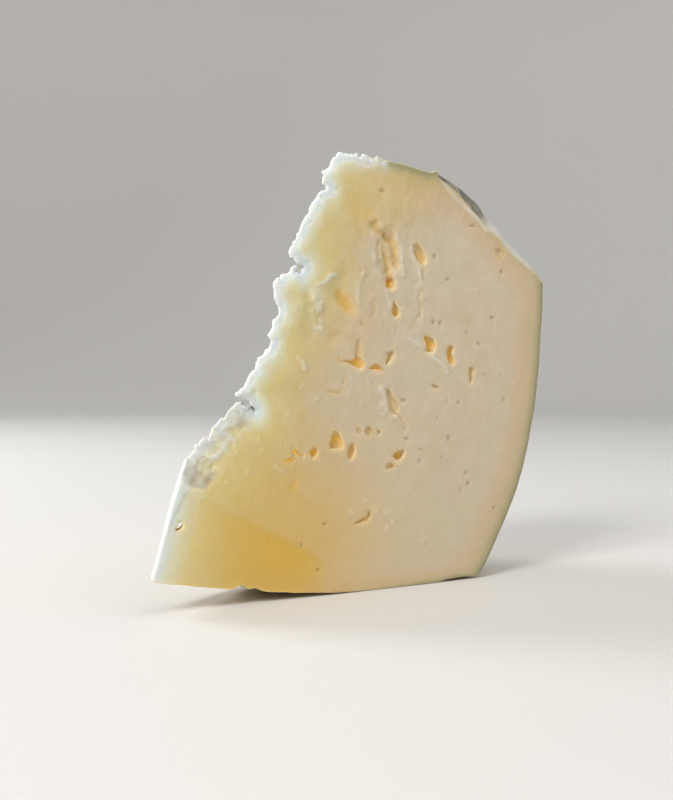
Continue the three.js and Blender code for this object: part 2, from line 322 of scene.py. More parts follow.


# %% [markdown]
# ## Eyes
#
# The eyes are gas holes that the knife opened, so they are cavities with a ragged mouth, not dents. A boolean
# cut could make them, but it would leave poor triangles round each mouth. Instead each mouth is a ring that
# the face is built around, and a bowl with the same ring as its rim is sewn in: the ring shrinks towards its
# middle while it goes deeper, a little wider just under the skin than at the mouth.

# %% Mouths of the eyes on the front face: points, depth, and how strong the painted orange glow in the hollow is
FRONT_EYES = {
    "channel_foot": ([(60.5, 75.4), (62.2, 75.4), (62.9, 74.0), (62.2, 73.1), (60.4, 73.2),
                      (59.9, 74.3)], 2.3, 1.0),
    "long_drop": ([(68.3, 84.1), (69.5, 84.0), (70.4, 82.9), (71.6, 81.2), (71.8, 80.2), (71.2, 79.4),
                   (70.0, 79.3), (69.1, 80.2), (68.3, 81.8), (68.0, 83.2)], 1.7, 0.5),
    "tear_drop": ([(62.4, 69.6), (63.3, 68.6), (63.9, 67.2), (63.3, 66.3), (62.4, 66.4),
                   (61.8, 67.5)], 2.0, 0.85),
    "square": ([(71.1, 61.4), (72.8, 61.3), (74.2, 60.7), (74.6, 59.3), (74.3, 58.0), (73.1, 57.6),
                (71.6, 57.9), (71.8, 59.3)], 2.6, 0.85),
    "crescent": ([(78.5, 59.0), (79.4, 59.2), (80.2, 58.6), (79.6, 57.6), (79.6, 56.7), (80.4, 55.5),
                  (80.1, 54.5), (79.1, 54.7), (78.2, 55.9), (77.9, 57.6)], 1.8, 0.7),
    "leaning": ([(84.6, 53.4), (85.5, 53.8), (86.3, 53.1), (85.9, 51.8), (85.6, 50.1), (85.0, 50.1),
                 (84.8, 52.0)], 1.3, 0.45),
    "star": ([(49.2, 55.4), (50.9, 55.9), (51.8, 56.9), (52.7, 56.6), (53.4, 55.5), (54.0, 54.3),
              (52.6, 53.7), (51.0, 54.3)], 1.6, 1.0),
    "roof": ([(55.5, 53.6), (56.3, 54.5), (57.2, 54.6), (58.7, 53.9), (59.1, 53.3), (58.1, 53.1),
              (56.9, 53.5)], 1.3, 0.75),
    "slot": ([(60.5, 57.4), (62.0, 57.7), (62.2, 56.3), (61.3, 55.5), (60.2, 54.9),
              (60.4, 56.1)], 1.4, 0.5),
    "ragged": ([(60.3, 48.6), (61.2, 48.4), (62.2, 46.4), (63.5, 45.1), (63.4, 42.7), (62.1, 42.6),
                (61.2, 43.6), (60.8, 45.4), (60.3, 46.9)], 1.3, 0.35),
    "thin_roof": ([(73.6, 49.5), (74.7, 49.4), (75.8, 48.9), (74.9, 48.5), (73.9, 48.8)], 0.8, 0.4),
    "half_moon": ([(45.4, 38.7), (46.8, 38.4), (47.8, 36.8), (48.1, 35.0), (45.9, 34.8), (44.3, 35.1),
                   (44.5, 36.7)], 2.3, 0.8),
    "upright": ([(49.9, 35.4), (51.1, 35.5), (51.3, 33.9), (50.7, 32.3), (49.6, 32.2),
                 (49.2, 33.7)], 1.7, 0.6),
    "small_gold": ([(39.0, 34.6), (40.2, 35.1), (41.0, 34.3), (40.6, 33.2), (39.6, 32.9),
                    (38.9, 33.7)], 1.5, 0.9),
    "wing": ([(34.1, 35.5), (34.9, 35.1), (35.6, 34.3), (37.1, 33.9), (36.3, 33.6), (35.1, 33.8),
              (34.3, 34.5)], 0.3, 1.0),
    "sickle": ([(31.8, 32.7), (33.1, 32.7), (34.0, 33.1), (34.7, 33.7), (34.5, 32.6), (33.3, 32.0),
                (32.3, 32.2)], 0.3, 1.0),
    "deep_gold": ([(62.1, 32.5), (63.4, 33.5), (65.2, 33.7), (65.3, 32.5), (64.0, 31.2),
                   (62.7, 31.5)], 2.6, 1.0),
    "under_gold": ([(60.2, 30.0), (61.3, 30.6), (62.5, 30.0), (61.5, 29.5), (60.6, 29.4)], 1.0, 0.5),
    "pea_left": ([(54.2, 39.1), (55.1, 39.6), (56.1, 39.0), (55.9, 38.0), (54.9, 37.6),
                  (54.2, 38.2)], 1.0, 0.35),
    "pea_small": ([(51.8, 39.3), (52.7, 39.5), (52.9, 38.7), (52.1, 38.4)], 0.8, 0.3),
    "pea_right": ([(57.6, 38.8), (58.4, 38.5), (58.3, 38.0), (57.7, 38.1)], 0.6, 0.3),
    "split": ([(55.0, 19.2), (55.6, 19.2), (55.3, 17.7), (54.6, 16.9), (53.1, 16.9), (51.4, 16.6),
               (53.1, 17.5), (54.4, 18.1)], 1.2, 0.85),
    "rim_side": ([(93.4, 84.1), (95.0, 84.0), (95.4, 82.7), (94.4, 82.1), (93.3, 82.8)], 0.9, 0.4),
}
BACK_EYES = [(38, 22, 3.4, 2.8, 20), (52, 31, 2.4, 4.6, -16), (60, 47, 4.0, 3.2, 8), (69, 58, 2.6, 3.0, 0),
             (74, 38, 3.0, 4.8, 24), (80, 66, 2.2, 3.4, -12), (64, 72, 3.6, 2.4, 30), (72, 84, 2.4, 4.0, 10),
             (86, 50, 2.6, 2.4, 0), (88, 26, 2.2, 3.2, -20), (91, 71, 1.6, 2.6, 30), (57, 15, 1.8, 2.4, 10),
             (75, 20, 1.6, 1.4, 0), (81, 79, 1.4, 2.0, -30), (66, 28, 1.8, 1.5, 40), (99, 58, 1.6, 2.2, 5)]
PINHOLE = [(6.2, 19.9), (7.0, 19.7), (7.0, 19.1), (6.5, 18.5), (5.8, 18.2), (5.1, 18.3), (5.7, 19.0),
           (5.8, 19.6)]


def mouth(points, seed):
    """Closed smooth curve through the points, walked in even steps and roughened a little sideways."""
    ring = walk(smooth_curve(points, closed=True), 0.3, closed=True)
    area = np.sum(ring[:, 0] * np.roll(ring[:, 1], -1) - np.roll(ring[:, 0], -1) * ring[:, 1])
    ring = ring if area > 0 else ring[::-1]
    return ring + sideways(ring, 1) * 0.05 * noise(on_face(*ring.T), 0.45, seed)[:, None]


def blob(x, z, width, height, tilt, seed):
    """Seven points round an ellipse, each pushed in or out at random, for an eye with no drawn shape."""
    rng = np.random.default_rng(seed)
    angle = np.linspace(0, 2 * np.pi, 7, endpoint=False) + rng.uniform(-0.25, 0.25, 7)
    size = rng.uniform(0.75, 1.15, 7)
    a, b = 0.5 * width * np.cos(angle) * size, 0.5 * height * np.sin(angle) * size
    turn = np.radians(tilt)
    return np.column_stack([x + a * np.cos(turn) - b * np.sin(turn), z + a * np.sin(turn) + b * np.cos(turn)])


FRONT_SHALLOWER = 0.6  # a knife drags paste into the eyes, so they are this much of their depth
BACK_DEPTH = 0.4  # the depth of a back eye as a share of its smaller side
# how strong the painted orange glow in a back eye is
BACK_TONE = 0.45
front_rings = [(mouth(points, 40 + i), FRONT_SHALLOWER * depth, tone)
               for i, (points, depth, tone) in enumerate(FRONT_EYES.values())]
back_rings = [(mouth(blob(*eye, 70 + i), 90 + i), BACK_DEPTH * min(eye[2], eye[3]), BACK_TONE)
              for i, eye in enumerate(BACK_EYES)]
print("eyes in front:", len(front_rings), "behind:", len(back_rings))

# %% [markdown]
# ## Marks on the cut face
#
# A knife drags soft cheese: it leaves long shallow waves, smears little ridges beside the eyes, closes some
# eyes to pinpricks and drops crumbs. These are all lower than a millimetre, so the face can stay a height
# field: each mark adds to how far the face lies behind its own plane. The same marks give the colours their
# masks, so that painted shade darkens a pit exactly where it is deep and painted glow tints the hollows.

# %% Places of the marks, in mm on the face
# the last number sets how strongly a groove gets painted orange glow and painted shade
GROOVES = [  # line, width, depth, how orange
    ([(57.0, 88.2), (57.7, 86.9), (59.4, 86.2), (61.2, 85.2)], 1.8, 0.65, 0.34),
    ([(60.4, 85.6), (62.1, 83.9), (62.9, 81.6), (63.3, 78.8)], 1.7, 0.8, 0.4),
    ([(60.2, 81.2), (60.9, 78.6), (61.3, 75.4)], 1.5, 0.65, 0.45),
    ([(58.2, 84.4), (57.8, 82.0), (58.6, 79.4), (59.8, 77.0)], 0.8, 0.25, 0.15),
    ([(52.4, 59.6), (52.3, 58.0), (52.2, 56.4)], 1.1, 0.45, 0.3),
    ([(70.7, 72.8), (69.8, 71.4), (70.2, 68.6), (70.1, 66.9), (68.9, 65.7)], 0.45, 0.28, 0.15),
    ([(48.5, 51.9), (47.9, 49.2), (47.2, 48.1), (45.3, 48.2), (43.5, 48.3)], 0.35, 0.22, 0.3),
    ([(53.4, 65.2), (53.5, 64.3), (54.3, 63.9)], 0.6, 0.4, 0.2),
    ([(56.6, 69.8), (57.0, 67.4), (56.2, 66.0)], 0.6, 0.2, 0.15),
    ([(63.0, 43.0), (64.8, 41.0), (65.8, 38.7)], 0.5, 0.3, 0.15),
    ([(47.0, 55.8), (49.2, 55.4)], 0.35, 0.3, 0.8),
    ([(71.2, 79.4), (70.9, 77.0), (71.2, 75.4)], 0.5, 0.18, 0.1),
    ([(78.0, 47.5), (77.8, 44.8)], 0.4, 0.2, 0.1),
]
# the last number is how strongly a ridge is painted pale, a painted glint with light shining through
RIDGES = [  # line, width, height, how white
    ([(63.0, 86.2), (64.3, 83.2), (64.8, 80.2), (65.3, 76.3)], 0.6, 0.28, 0.3),
    ([(56.3, 86.0), (57.0, 82.1), (56.9, 78.8), (58.4, 75.8)], 0.7, 0.24, 0.2),
    ([(67.6, 84.2), (67.6, 81.7), (69.2, 78.6), (70.1, 76.6), (70.4, 74.2)], 0.6, 0.26, 0.3),
    ([(59.5, 73.0), (60.8, 70.6), (61.4, 68.6)], 0.7, 0.22, 0.25),
    ([(66.7, 60.9), (69.1, 59.8), (70.6, 58.6)], 0.6, 0.22, 0.3),
    ([(72.6, 57.0), (75.4, 55.3), (77.3, 54.1), (78.2, 52.4)], 0.8, 0.28, 0.3),
    ([(41.2, 73.4), (43.2, 74.2), (44.6, 75.4), (46.2, 76.0)], 0.8, 0.35, 0.7),
    ([(40.9, 72.0), (41.0, 70.4), (41.3, 68.6)], 2.6, 0.45, 0.5),
    ([(41.3, 69.0), (41.7, 66.6), (42.2, 62.6)], 3.0, 0.3, 0.2),
    ([(40.4, 63.0), (41.6, 63.5), (42.6, 63.1)], 0.7, 0.3, 0.8),
    ([(35.6, 76.0), (36.4, 70.0), (35.0, 64.0)], 2.6, 0.3, 0.1),
    ([(53.4, 76.0), (52.2, 72.5), (52.6, 69.5)], 1.0, 0.25, 0.2),
    ([(36.0, 56.2), (37.2, 54.8), (37.6, 53.4)], 0.7, 0.3, 0.4),
    ([(76.6, 99.6), (80.3, 96.2), (84.9, 92.9), (90.6, 88.6)], 0.8, 0.18, 0.5),
    ([(49.6, 52.8), (50.6, 50.4), (49.4, 47.4)], 0.6, 0.16, 0.2),
    ([(58.6, 48.8), (60.0, 46.0), (60.2, 43.2)], 0.8, 0.3, 0.35),
]
# the last number sets how strongly a hollow gets painted orange glow and painted shade
HOLLOWS = [  # middle, half sizes along and across, tilt in degrees, depth, how orange
    ((48.7, 69.4), 3.3, 1.5, -48, 1.1, 0.62),
    ((60.4, 81.2), 5.4, 2.4, -78, 0.5, 0.16),
    ((47.0, 73.2), 4.2, 2.2, 60, 0.35, 0.0),
    ((52.0, 92.0), 5.0, 3.0, -60, 0.35, 0.15),
    ((54.6, 90.2), 3.0, 2.2, 0, 0.15, 0.22),
    ((40.2, 63.4), 3.0, 5.0, 10, 0.3, 0.0),
    ((34.7, 26.6), 1.5, 1.0, 70, 0.25, 0.35),
    ((68.0, 77.0), 2.0, 6.5, 8, 0.3, 0.0),
    ((45.5, 61.0), 2.0, 1.2, 20, 0.25, 0.1),
]
PINPRICKS = [(87.9, 59.8), (92.0, 66.4), (76.1, 64.9), (74.0, 65.0), (78.2, 75.7), (84.1, 62.5), (89.7, 51.9),
             (94.6, 51.8), (81.6, 44.9), (95.9, 45.6), (65.2, 45.8), (74.3, 81.3), (85.8, 89.5), (94.9, 78.1),
             (42.9, 17.1), (36.8, 12.6), (41.2, 6.3), (82.4, 23.0), (66.0, 36.4), (78.6, 36.2), (84.0, 27.1),
             (84.7, 24.5), (69.8, 30.7), (70.0, 33.6), (76.5, 31.5), (75.3, 41.4), (92.9, 17.6), (58.9, 96.4)]
SPECKS = [(42.9, 17.1), (36.8, 12.6), (41.2, 6.3), (58.9, 96.4), (92.9, 17.6), (85.8, 89.5)]  # the dark ones
CRUMBS = [(59.3, 45.2), (59.9, 43.6), (60.6, 42.0), (61.8, 41.3), (58.7, 44.2), (59.4, 42.7), (62.8, 41.9),
          (14.4, 31.0), (58.4, 17.4), (60.4, 18.3), (61.0, 17.0), (61.8, 16.0), (60.2, 14.8), (57.4, 18.9),
          (71.0, 10.4), (72.1, 12.1), (71.4, 11.2), (79.1, 10.6), (50.2, 19.2), (54.4, 21.8), (12.0, 25.2),
          (20.0, 34.8), (25.6, 37.5), (32.9, 43.2),
          (38.4, 32.4), (37.6, 33.0), (26.4, 34.6), (29.8, 31.0), (31.2, 30.2), (22.8, 30.4), (17.6, 28.0),
          (34.0, 52.6), (36.8, 49.4), (41.0, 46.6), (52.8, 45.0), (56.6, 58.4), (66.2, 50.6)]
SPALL_EDGE = [(6.6, 28.6), (9.0, 27.0), (12.5, 26.4), (15.0, 28.6), (17.5, 31.0), (20.1, 34.1), (22.3, 36.0),
              (24.6, 39.2), (25.1, 43.4)]
SHADED_ENDS = [(9.4, 29.6), (13.0, 29.0), (22.2, 41.6)]  # the spall's two ends lie in their own shade
CREASE = [(8.0, 27.5), (12.2, 25.5), (17.1, 23.2), (23.3, 20.1), (29.7, 16.6), (36.3, 13.1), (46.0, 7.6)]
print("marks:", len(GROOVES) + len(RIDGES) + len(HOLLOWS) + len(PINPRICKS) + len(CRUMBS))

# %% How deep the front face lies, and its masks
break_line = front_edge[(section == "break") | (section == "crust")]
BREAK_SAMPLE = break_line[::3]


def wheel_edge(names):
    """Every fourth outline point of the named sections."""
    return front_edge[np.isin(section, names)][::4]


WHEEL_EDGE = wheel_edge(("rim", "shoulder", "top"))
WHEEL_FOOT = wheel_edge(("underside",))


OUTER_WIDTH = 12  # the ripened zone is this wide along the rim and top
FOOT_NARROWER = 2.4  # and narrower by this along the foot
BACK_SMEAR = 0.4  # the back face is evenly smeared


def outer_zone(x, z, edge, foot):
    """1 at the outside of the wheel, falling evenly to 0 at OUTER_WIDTH, or sooner along the foot."""
    distance = np.minimum(distance_to(x, z, edge), FOOT_NARROWER * distance_to(x, z, foot))
    return np.clip(1 - distance / OUTER_WIDTH, 0, 1)


def bell(distance, width):
    """A smooth bump: 1 at no distance, and near 0 at the given width."""
    return np.exp(-((1.6 * distance / width) ** 2))


def front_marks(x, z):
    """Depth of the face behind its own plane in mm, and masks from 0 to 1, at points of the front face.
    The depth is the sum of slow waves, grooves, ridges, hollows, pinpricks and crumbs, the
    spalled corner above the clean tip and the thin curl along the break."""
    at = on_face(x, z)
    depth = 0.22 * noise(at, 26, 11) + 0.09 * noise(at, 9, 12) + 0.03 * noise(at, 3, 13)
    hollow_glow, white_grains_and_glow, pit_shades = np.zeros((3, len(x)))
    wander = 0.3 * noise(at, 1.6, 14) + 0.15 * noise(at, 0.7, 15)
    smear = np.exp(-(((x - 64) / 13) ** 2 + ((z - 74) / 19) ** 2))
    smear += 0.35 * smoothstep(0.1, 0.7, noise(at, 13, 16))
    drag = np.column_stack([x + 0.3 * z, z * 0, 0.5 * z - 0.15 * x])
    wrinkles = np.abs(noise(drag, 2.6, 17) + 0.4 * noise(at, 1.1, 18))
    depth += smear * (0.16 * np.exp(-((wrinkles / 0.12) ** 2)) + 0.09 * noise(at, 2.3, 24))
    # painted orange glow and painted shade in each groove, strongest where it is deepest
    for line, width, deep, tone in GROOVES:
        shape = bell(distance_to(x, z, smooth_curve(line, 4)) + wander * width, width)
        depth += deep * shape
        hollow_glow = np.maximum(hollow_glow, tone * shape)
        pit_shades = np.maximum(pit_shades, 0.9 * tone * shape)
    # each ridge painted pale, with a painted glint of light on it
    for line, width, tall, painted_pale_light in RIDGES:
        shape = bell(distance_to(x, z, smooth_curve(line, 4)) + wander * width, width)
        depth -= 0.75 * tall * shape * (1 + 0.6 * noise(at, 2.2, 19))
        white_grains_and_glow = np.maximum(white_grains_and_glow, painted_pale_light * shape)
    # painted orange glow and painted shade in each hollow
    for (cx, cz), half_x, half_z, tilt, deep, tone in HOLLOWS:
        turn = np.radians(tilt)
        u = ((x - cx) * np.cos(turn) + (z - cz) * np.sin(turn)) / half_x
        v = ((z - cz) * np.cos(turn) - (x - cx) * np.sin(turn)) / half_z
        shape = np.exp(-((u * u + v * v) ** 1.3)) * (1 + 0.5 * wander)
        depth += deep * shape
        hollow_glow = np.maximum(hollow_glow, tone * shape)
        pit_shades = np.maximum(pit_shades, 0.7 * tone * shape)
    # painted shade in each pinprick, darkest in the listed specks
    for i, (cx, cz) in enumerate(PINPRICKS):
        size = 0.32 + 0.12 * np.sin(7.0 * i)
        squeeze = 1 + 0.35 * np.sin(3.0 * i)
        shape = bell(np.hypot((x - cx) * squeeze, (z - cz) / squeeze) + 0.3 * wander, 2.0 * size)
        depth += 0.4 * shape
        pit_shades = np.maximum(pit_shades, shape * (1 if (cx, cz) in SPECKS else 0.75))
    for i, (cx, cz) in enumerate(CRUMBS):
        size = 0.45 + 0.2 * np.sin(5.0 * i)
        shape = bell(np.hypot(x - cx, z - cz) + 0.6 * wander, 1.7 * size)
        depth -= 0.22 * shape
        white_grains_and_glow = np.maximum(white_grains_and_glow, 0.18 * shape)

    from_edge = distance_to(x, z, BREAK_SAMPLE)
    spall_side = inside(x, z, np.vstack([SPALL_EDGE, [(25, 60), (-20, 60), (-20, 28)]]))
    from_spall = distance_to(x, z, SPALL_EDGE)
    blunt = 1 + 3.5 * smoothstep(28, 34, z)  # the low end of the spall is a sharp step, the rest fades out
    spall = np.where(spall_side, smoothstep(0.0, 1.0, (from_spall + 0.5 * wander) / blunt), 0)
    spall *= smoothstep(51, 45, z)
    grains = fractal(at, 1.9, 21, octaves=3, fade=0.6)
    depth += spall * (0.15 + 0.14 * from_spall + 0.22 * grains)
    for cx, cz in SHADED_ENDS:
        pit_shades = np.maximum(pit_shades, 0.8 * spall * bell(np.hypot(x - cx, z - cz) + 2 * wander, 3.4))
    curl = np.clip(1 - from_edge / 3.2, 0, 1) ** 2 * (1 - spall)
    stripes = noise(np.column_stack([from_edge, z * 0.12, x * 0]), 0.45, 23)
    depth += curl * (0.55 + 0.14 * stripes + 0.14 * noise(at, 1.2, 22))
    ledge_width = 1.5 + 1.3 * noise(at, 2.6, 25) + 0.5 * noise(at, 0.8, 26)
    ledge = smoothstep(0.3, -0.3, from_edge - ledge_width) * (1 - spall)
    depth += 0.16 * ledge
    below = np.where(inside(x, z, np.vstack([CREASE, [(46, -5), (-9, -5)]])), distance_to(x, z, CREASE), 0)
    fold = smoothstep(0, 1.9, below) * smoothstep(46, 37, x)
    depth += 0.22 * fold
    # painted glow: paste along the break, on its ledge and at the clean tip is painted bluish white as if lit
    # from behind; the spall's broken grains and the crumbs are whitish of their own
    edge_glow = np.clip(1.3 * np.exp(-((from_edge / (1.2 + 0.9 * wander)) ** 2)) - 0.05, 0.0, 1)
    edge_glow = np.maximum(edge_glow, 0.6 * ledge)
    from_tip = distance_to(x, z, TIP)
    tip_glow = 0.9 * np.exp(-((from_tip / 1.5) ** 2))
    white_grains_and_glow = np.maximum(np.maximum(white_grains_and_glow, tip_glow), np.maximum(edge_glow, spall * (0.38 - 0.5 * grains)))
    # painted golden glow of light shining through the thin lower part of the tip, stronger below the crease
    glow = np.exp(-(((x - 35) / 23) ** 2) - ((z - 13) / 20) ** 2)
    gold_glow = (0.66 * glow + 0.3 * fold) * smoothstep(0, 22, x)
    gold_glow *= 1 - 0.8 * spall
    thick = np.minimum((x - tip_line(z)) * np.tan(WEDGE), 1.18 * from_edge + 0.25)
    outer = outer_zone(x, z, WHEEL_EDGE, WHEEL_FOOT) * smoothstep(20, 75, x + 3 * z)
    return depth, {"thick": thick / THICK_FULL, "hollow_glow": hollow_glow, "white_grains_and_glow": white_grains_and_glow, "gold_glow": gold_glow, "pit_shade": pit_shades,
                   "torn": spall, "outer": outer, "smear": smear}


def back_marks(reach, z):
    """The same for the back face, whose points are given by reach from the tip line and height: slow waves,
    a few smeared ridges and scattered pinpricks."""
    at = on_face(reach, z, 40.0)
    depth = 0.25 * noise(at, 24, 31) + 0.10 * noise(at, 8, 32) + 0.03 * noise(at, 3, 33)
    smear = np.column_stack([reach * 1.2 + z * 0.2, z * 0.15, z * 0])
    depth += 0.10 * noise(smear, 2.2, 34) * smoothstep(0.1, 0.6, noise(at, 14, 35))
    # scattered pinpricks on the back face, with painted shade in them
    spots = smoothstep(0.66, 0.82, noise(at, 1.7, 36)) * smoothstep(0.1, 0.5, noise(at, 12, 37))
    depth += 0.3 * spots
    thick = reach * np.tan(WEDGE)
    edge, foot = (np.column_stack([reach_of(line), line[:, 1]]) for line in (WHEEL_EDGE, WHEEL_FOOT))
    return depth, {"thick": thick / THICK_FULL, "pit_shade": spots, "smear": BACK_SMEAR,
                   "outer": outer_zone(reach, z, edge, foot)}


test_depth, _ = front_marks(front_edge[:, 0], front_edge[:, 1])
print("front edge lies", test_depth.min().round(2), "to", test_depth.max().round(2), "mm behind its plane")


# %% [markdown]
# ## Building up one skin
#
# All the surfaces go into one list of points and one list of triangles. Each surface knows the numbers of the
# points that it shares with its neighbour, so nothing has to be merged afterwards and there are no seams.

# %% A skin that surfaces are added to
MASKS = ("thick", "hollow_glow", "white_grains_and_glow", "gold_glow", "pit_shade", "torn", "outer", "smear", "dull")
skin = {"points": [], "triangles": [], "rind": [], "count": 0, **{name: [] for name in MASKS}}


def add_points(points, masks):
    """Appends points (x, y, z in wedge coordinates) with their masks, and returns their numbers."""
    numbers = np.arange(skin["count"], skin["count"] + len(points))
    skin["points"].append(points)
    for name in MASKS:
        skin[name].append(np.broadcast_to(masks.get(name, 0.0), len(points)).astype(float))
    skin["count"] += len(points)
    return numbers


def add_triangles(corners, is_rind=False):
    """Appends triangles given as rows of three point numbers."""
    skin["triangles"].append(corners)
    skin["rind"].append(np.broadcast_to(is_rind, len(corners)).astype(bool))


def add_grid(rows, flip=False, is_rind=False):
    """Fills a grid of point numbers, whose rows are closed rings, with two triangles for each cell."""
    a, b = rows[:-1], rows[1:]
    a_next, b_next = np.roll(a, -1, axis=1), np.roll(b, -1, axis=1)
    first = np.stack([a, a_next, b_next], axis=-1).reshape(-1, 3)
    second = np.stack([a, b_next, b], axis=-1).reshape(-1, 3)
    if flip:
        first, second = first[:, ::-1], second[:, ::-1]
    cells = np.broadcast_to(is_rind, a.shape).ravel()
    add_triangles(first, cells)
    add_triangles(second, cells)


# %% [markdown]
# ## The wall
#
# The wall is a grid: one direction runs round the outline, the other goes from the front face to the back.
# Behind the rim, the underside and the top it swings round the tip line, so the outside of the wheel stays
# round. Behind the break it runs straight and slopes away. A few extra rows at each end roll the wall over
# into the cut faces; on the shoulder they make the flat bevel instead.

# %% How far back each point of the outline reaches
EDGE_ROWS = 5
BODY_ROWS = 26


def reach_behind():
    """Reach of every outline point where it arrives at the back face. The wheel's outside keeps its reach. On
    the break it grows to reach / (cos W - slope sin W), where a wall of that slope meets the back face. The top
    edge shrinks evenly from one to the other."""
    near = reach_of(back_line)
    far = near * (1 + straight * (1 / (np.cos(WEDGE) - BREAK_SLOPE * np.sin(WEDGE)) - 1))
    on_top = np.flatnonzero((section == "top") | (section == "crust"))
    far[on_top] = np.linspace(near[on_top[0]], far[on_top[-1] + 1], len(on_top))
    return far


back_reach = reach_behind()
print("the back face is", (back_reach.max()).round(1), "mm wide at its widest")


# %% Rows of the wall
def wall_plan(share, detail):
    """Reach along the front face, distance behind it, and height, of the wall at a share of the way back.
    A swinging wall turns round the tip line; a sloping one goes straight to its place on the back face. The
    flakes of the front edge fade out with depth."""
    edge = back_line + (front_edge - back_line) * detail[:, None]
    near = reach_of(edge)
    swung = (near + (back_reach - near) * share) * np.exp(1j * WEDGE * share)
    sloped = (1 - share) * near + share * back_reach * np.exp(1j * WEDGE)
    plan = (1 - straight) * swung + straight * sloped
    return plan.real, plan.imag, edge[:, 1]


def front_rows(start, sag):
    """Rows that roll from the front face into the wall along a quarter circle, or along a flat bevel where
    the edge is pared. On the break there is nothing to roll, so they are the first rows of the wall."""
    rows = []
    for u in np.linspace(0, 1, EDGE_ROWS, endpoint=False):
        along_x, across, z = wall_plan(start * (1 - torn * (1 - u)), np.ones(COUNT))
        normal = sideways(np.column_stack([along_x, z]), 3)
        inward = (1 - pared) * (1 - np.sin(0.5 * np.pi * u)) + pared * (1 - u)
        deeper = (1 - pared) * (1 - np.cos(0.5 * np.pi * u)) + pared * u
        shrink = edge_in * inward * (1 - torn)
        x_row, z_row = along_x - normal[:, 0] * shrink, z - normal[:, 1] * shrink
        y_row = across * (torn + (1 - torn) * deeper) + sag * (1 - deeper * (1 - torn))
        rows.append(np.column_stack([x_row + tip_line(z_row), y_row, z_row]))
    return rows


def body_rows(start, finish, sag):
    """Rows between the rolled edges."""
    rows = []
    for v in np.linspace(0, 1, BODY_ROWS):
        share = start + (finish - start) * v
        fade = np.exp(-share * back_reach * np.sin(WEDGE) / 3.5)
        along_x, across, z = wall_plan(share, fade)
        rows.append(np.column_stack([along_x + tip_line(z), across + sag * (1 - v) * torn, z]))
    return rows


def back_rows(last):
    """Rows that roll into the back face, worked out in its own plane: level runs along it and gap is how far
    a point lies in front of it."""
    x, z = last[:, 0] - tip_line(last[:, 2]), last[:, 2]
    level = x * np.cos(WEDGE) + last[:, 1] * np.sin(WEDGE)
    gap = x * np.sin(WEDGE) - last[:, 1] * np.cos(WEDGE)
    normal = sideways(np.column_stack([level, z]), 3)
    sag, _ = back_marks(level, z)
    rows = []
    for u in np.linspace(0, 1, EDGE_ROWS + 1)[1:]:
        shrink = rounding * (1 - np.cos(0.5 * np.pi * u))
        rows.append(from_back(level - normal[:, 0] * shrink, z - normal[:, 1] * shrink,
                              gap * (1 - np.sin(0.5 * np.pi * u)) + sag * u))
    return rows


def from_back(level, z, gap):
    """Wedge coordinates of points that lie gap in front of the back face."""
    x = level * np.cos(WEDGE) + gap * np.sin(WEDGE) + tip_line(z)
    return np.column_stack([x, level * np.sin(WEDGE) - gap * np.cos(WEDGE), z])


def wall_rows():
    """All the rows as an array (row, point round the outline, x y z)."""
    near = reach_of(front_edge)
    sag, _ = front_marks(*front_edge.T)
    start = np.arcsin(np.clip(np.maximum(edge_deep, 0.25) / near, 0, 0.25)) / WEDGE
    finish = 1 - np.arcsin(np.clip(np.maximum(rounding, 0.2) / near, 0, 0.25)) / WEDGE
    rows = front_rows(start, sag) + body_rows(start, finish, sag)
    return np.array(rows + back_rows(rows[-1]))


wall = wall_rows()
LAST = len(wall) - 1
print("wall rows and points:", wall.shape[:2])


# %% [markdown]
# ## Crumbly break, firm rind
#
# Two kinds of roughness go on the wall. The break runs between curds, so it is a landscape of grains and small
# steps. The outside was pressed against a cloth and dried, so it only undulates. Both are moves along the
# wall's own normal, faded out at the two ends so that the wall still meets the faces.

# %% Roughen the wall
def roughen(rows):
    """Moves each wall point along its normal: the cross product of the steps to its neighbours. On the break
    the move is four octaves of noise, growing with depth behind the front edge; elsewhere it is slow waves."""
    around = np.roll(rows, -1, axis=1) - np.roll(rows, 1, axis=1)
    normal = np.cross(np.gradient(rows, axis=0), around)
    normal /= np.linalg.norm(normal, axis=2, keepdims=True) + 1e-12
    number = np.arange(len(rows))[:, None]
    from_back_end = smoothstep(EDGE_ROWS - 2, EDGE_ROWS + 4, LAST - number)
    from_front_end = smoothstep(EDGE_ROWS - 1, EDGE_ROWS + 4, number)
    flat = rows.reshape(-1, 3)
    shape = rows.shape[:2]
    grain = fractal(flat, 3.4, 51, octaves=4, fade=0.6).reshape(shape)
    steps = np.abs(noise(flat * [1, 1, 0.6], 5.5, 55)).reshape(shape)
    broken = np.minimum(0.75, 0.4 * np.maximum(rows[..., 1], 0)) * (grain - 1.1 * steps + 0.35) * from_back_end
    waves = (0.16 * noise(flat, 7, 56) + 0.07 * noise(flat, 2.2, 57)).reshape(shape)
    push = torn * broken + (1 - torn) * waves * from_front_end * from_back_end
    return rows + normal * push[..., None]


wall = roughen(wall)
print("wall box in mm:", wall.min((0, 1)).round(1), wall.max((0, 1)).round(1))


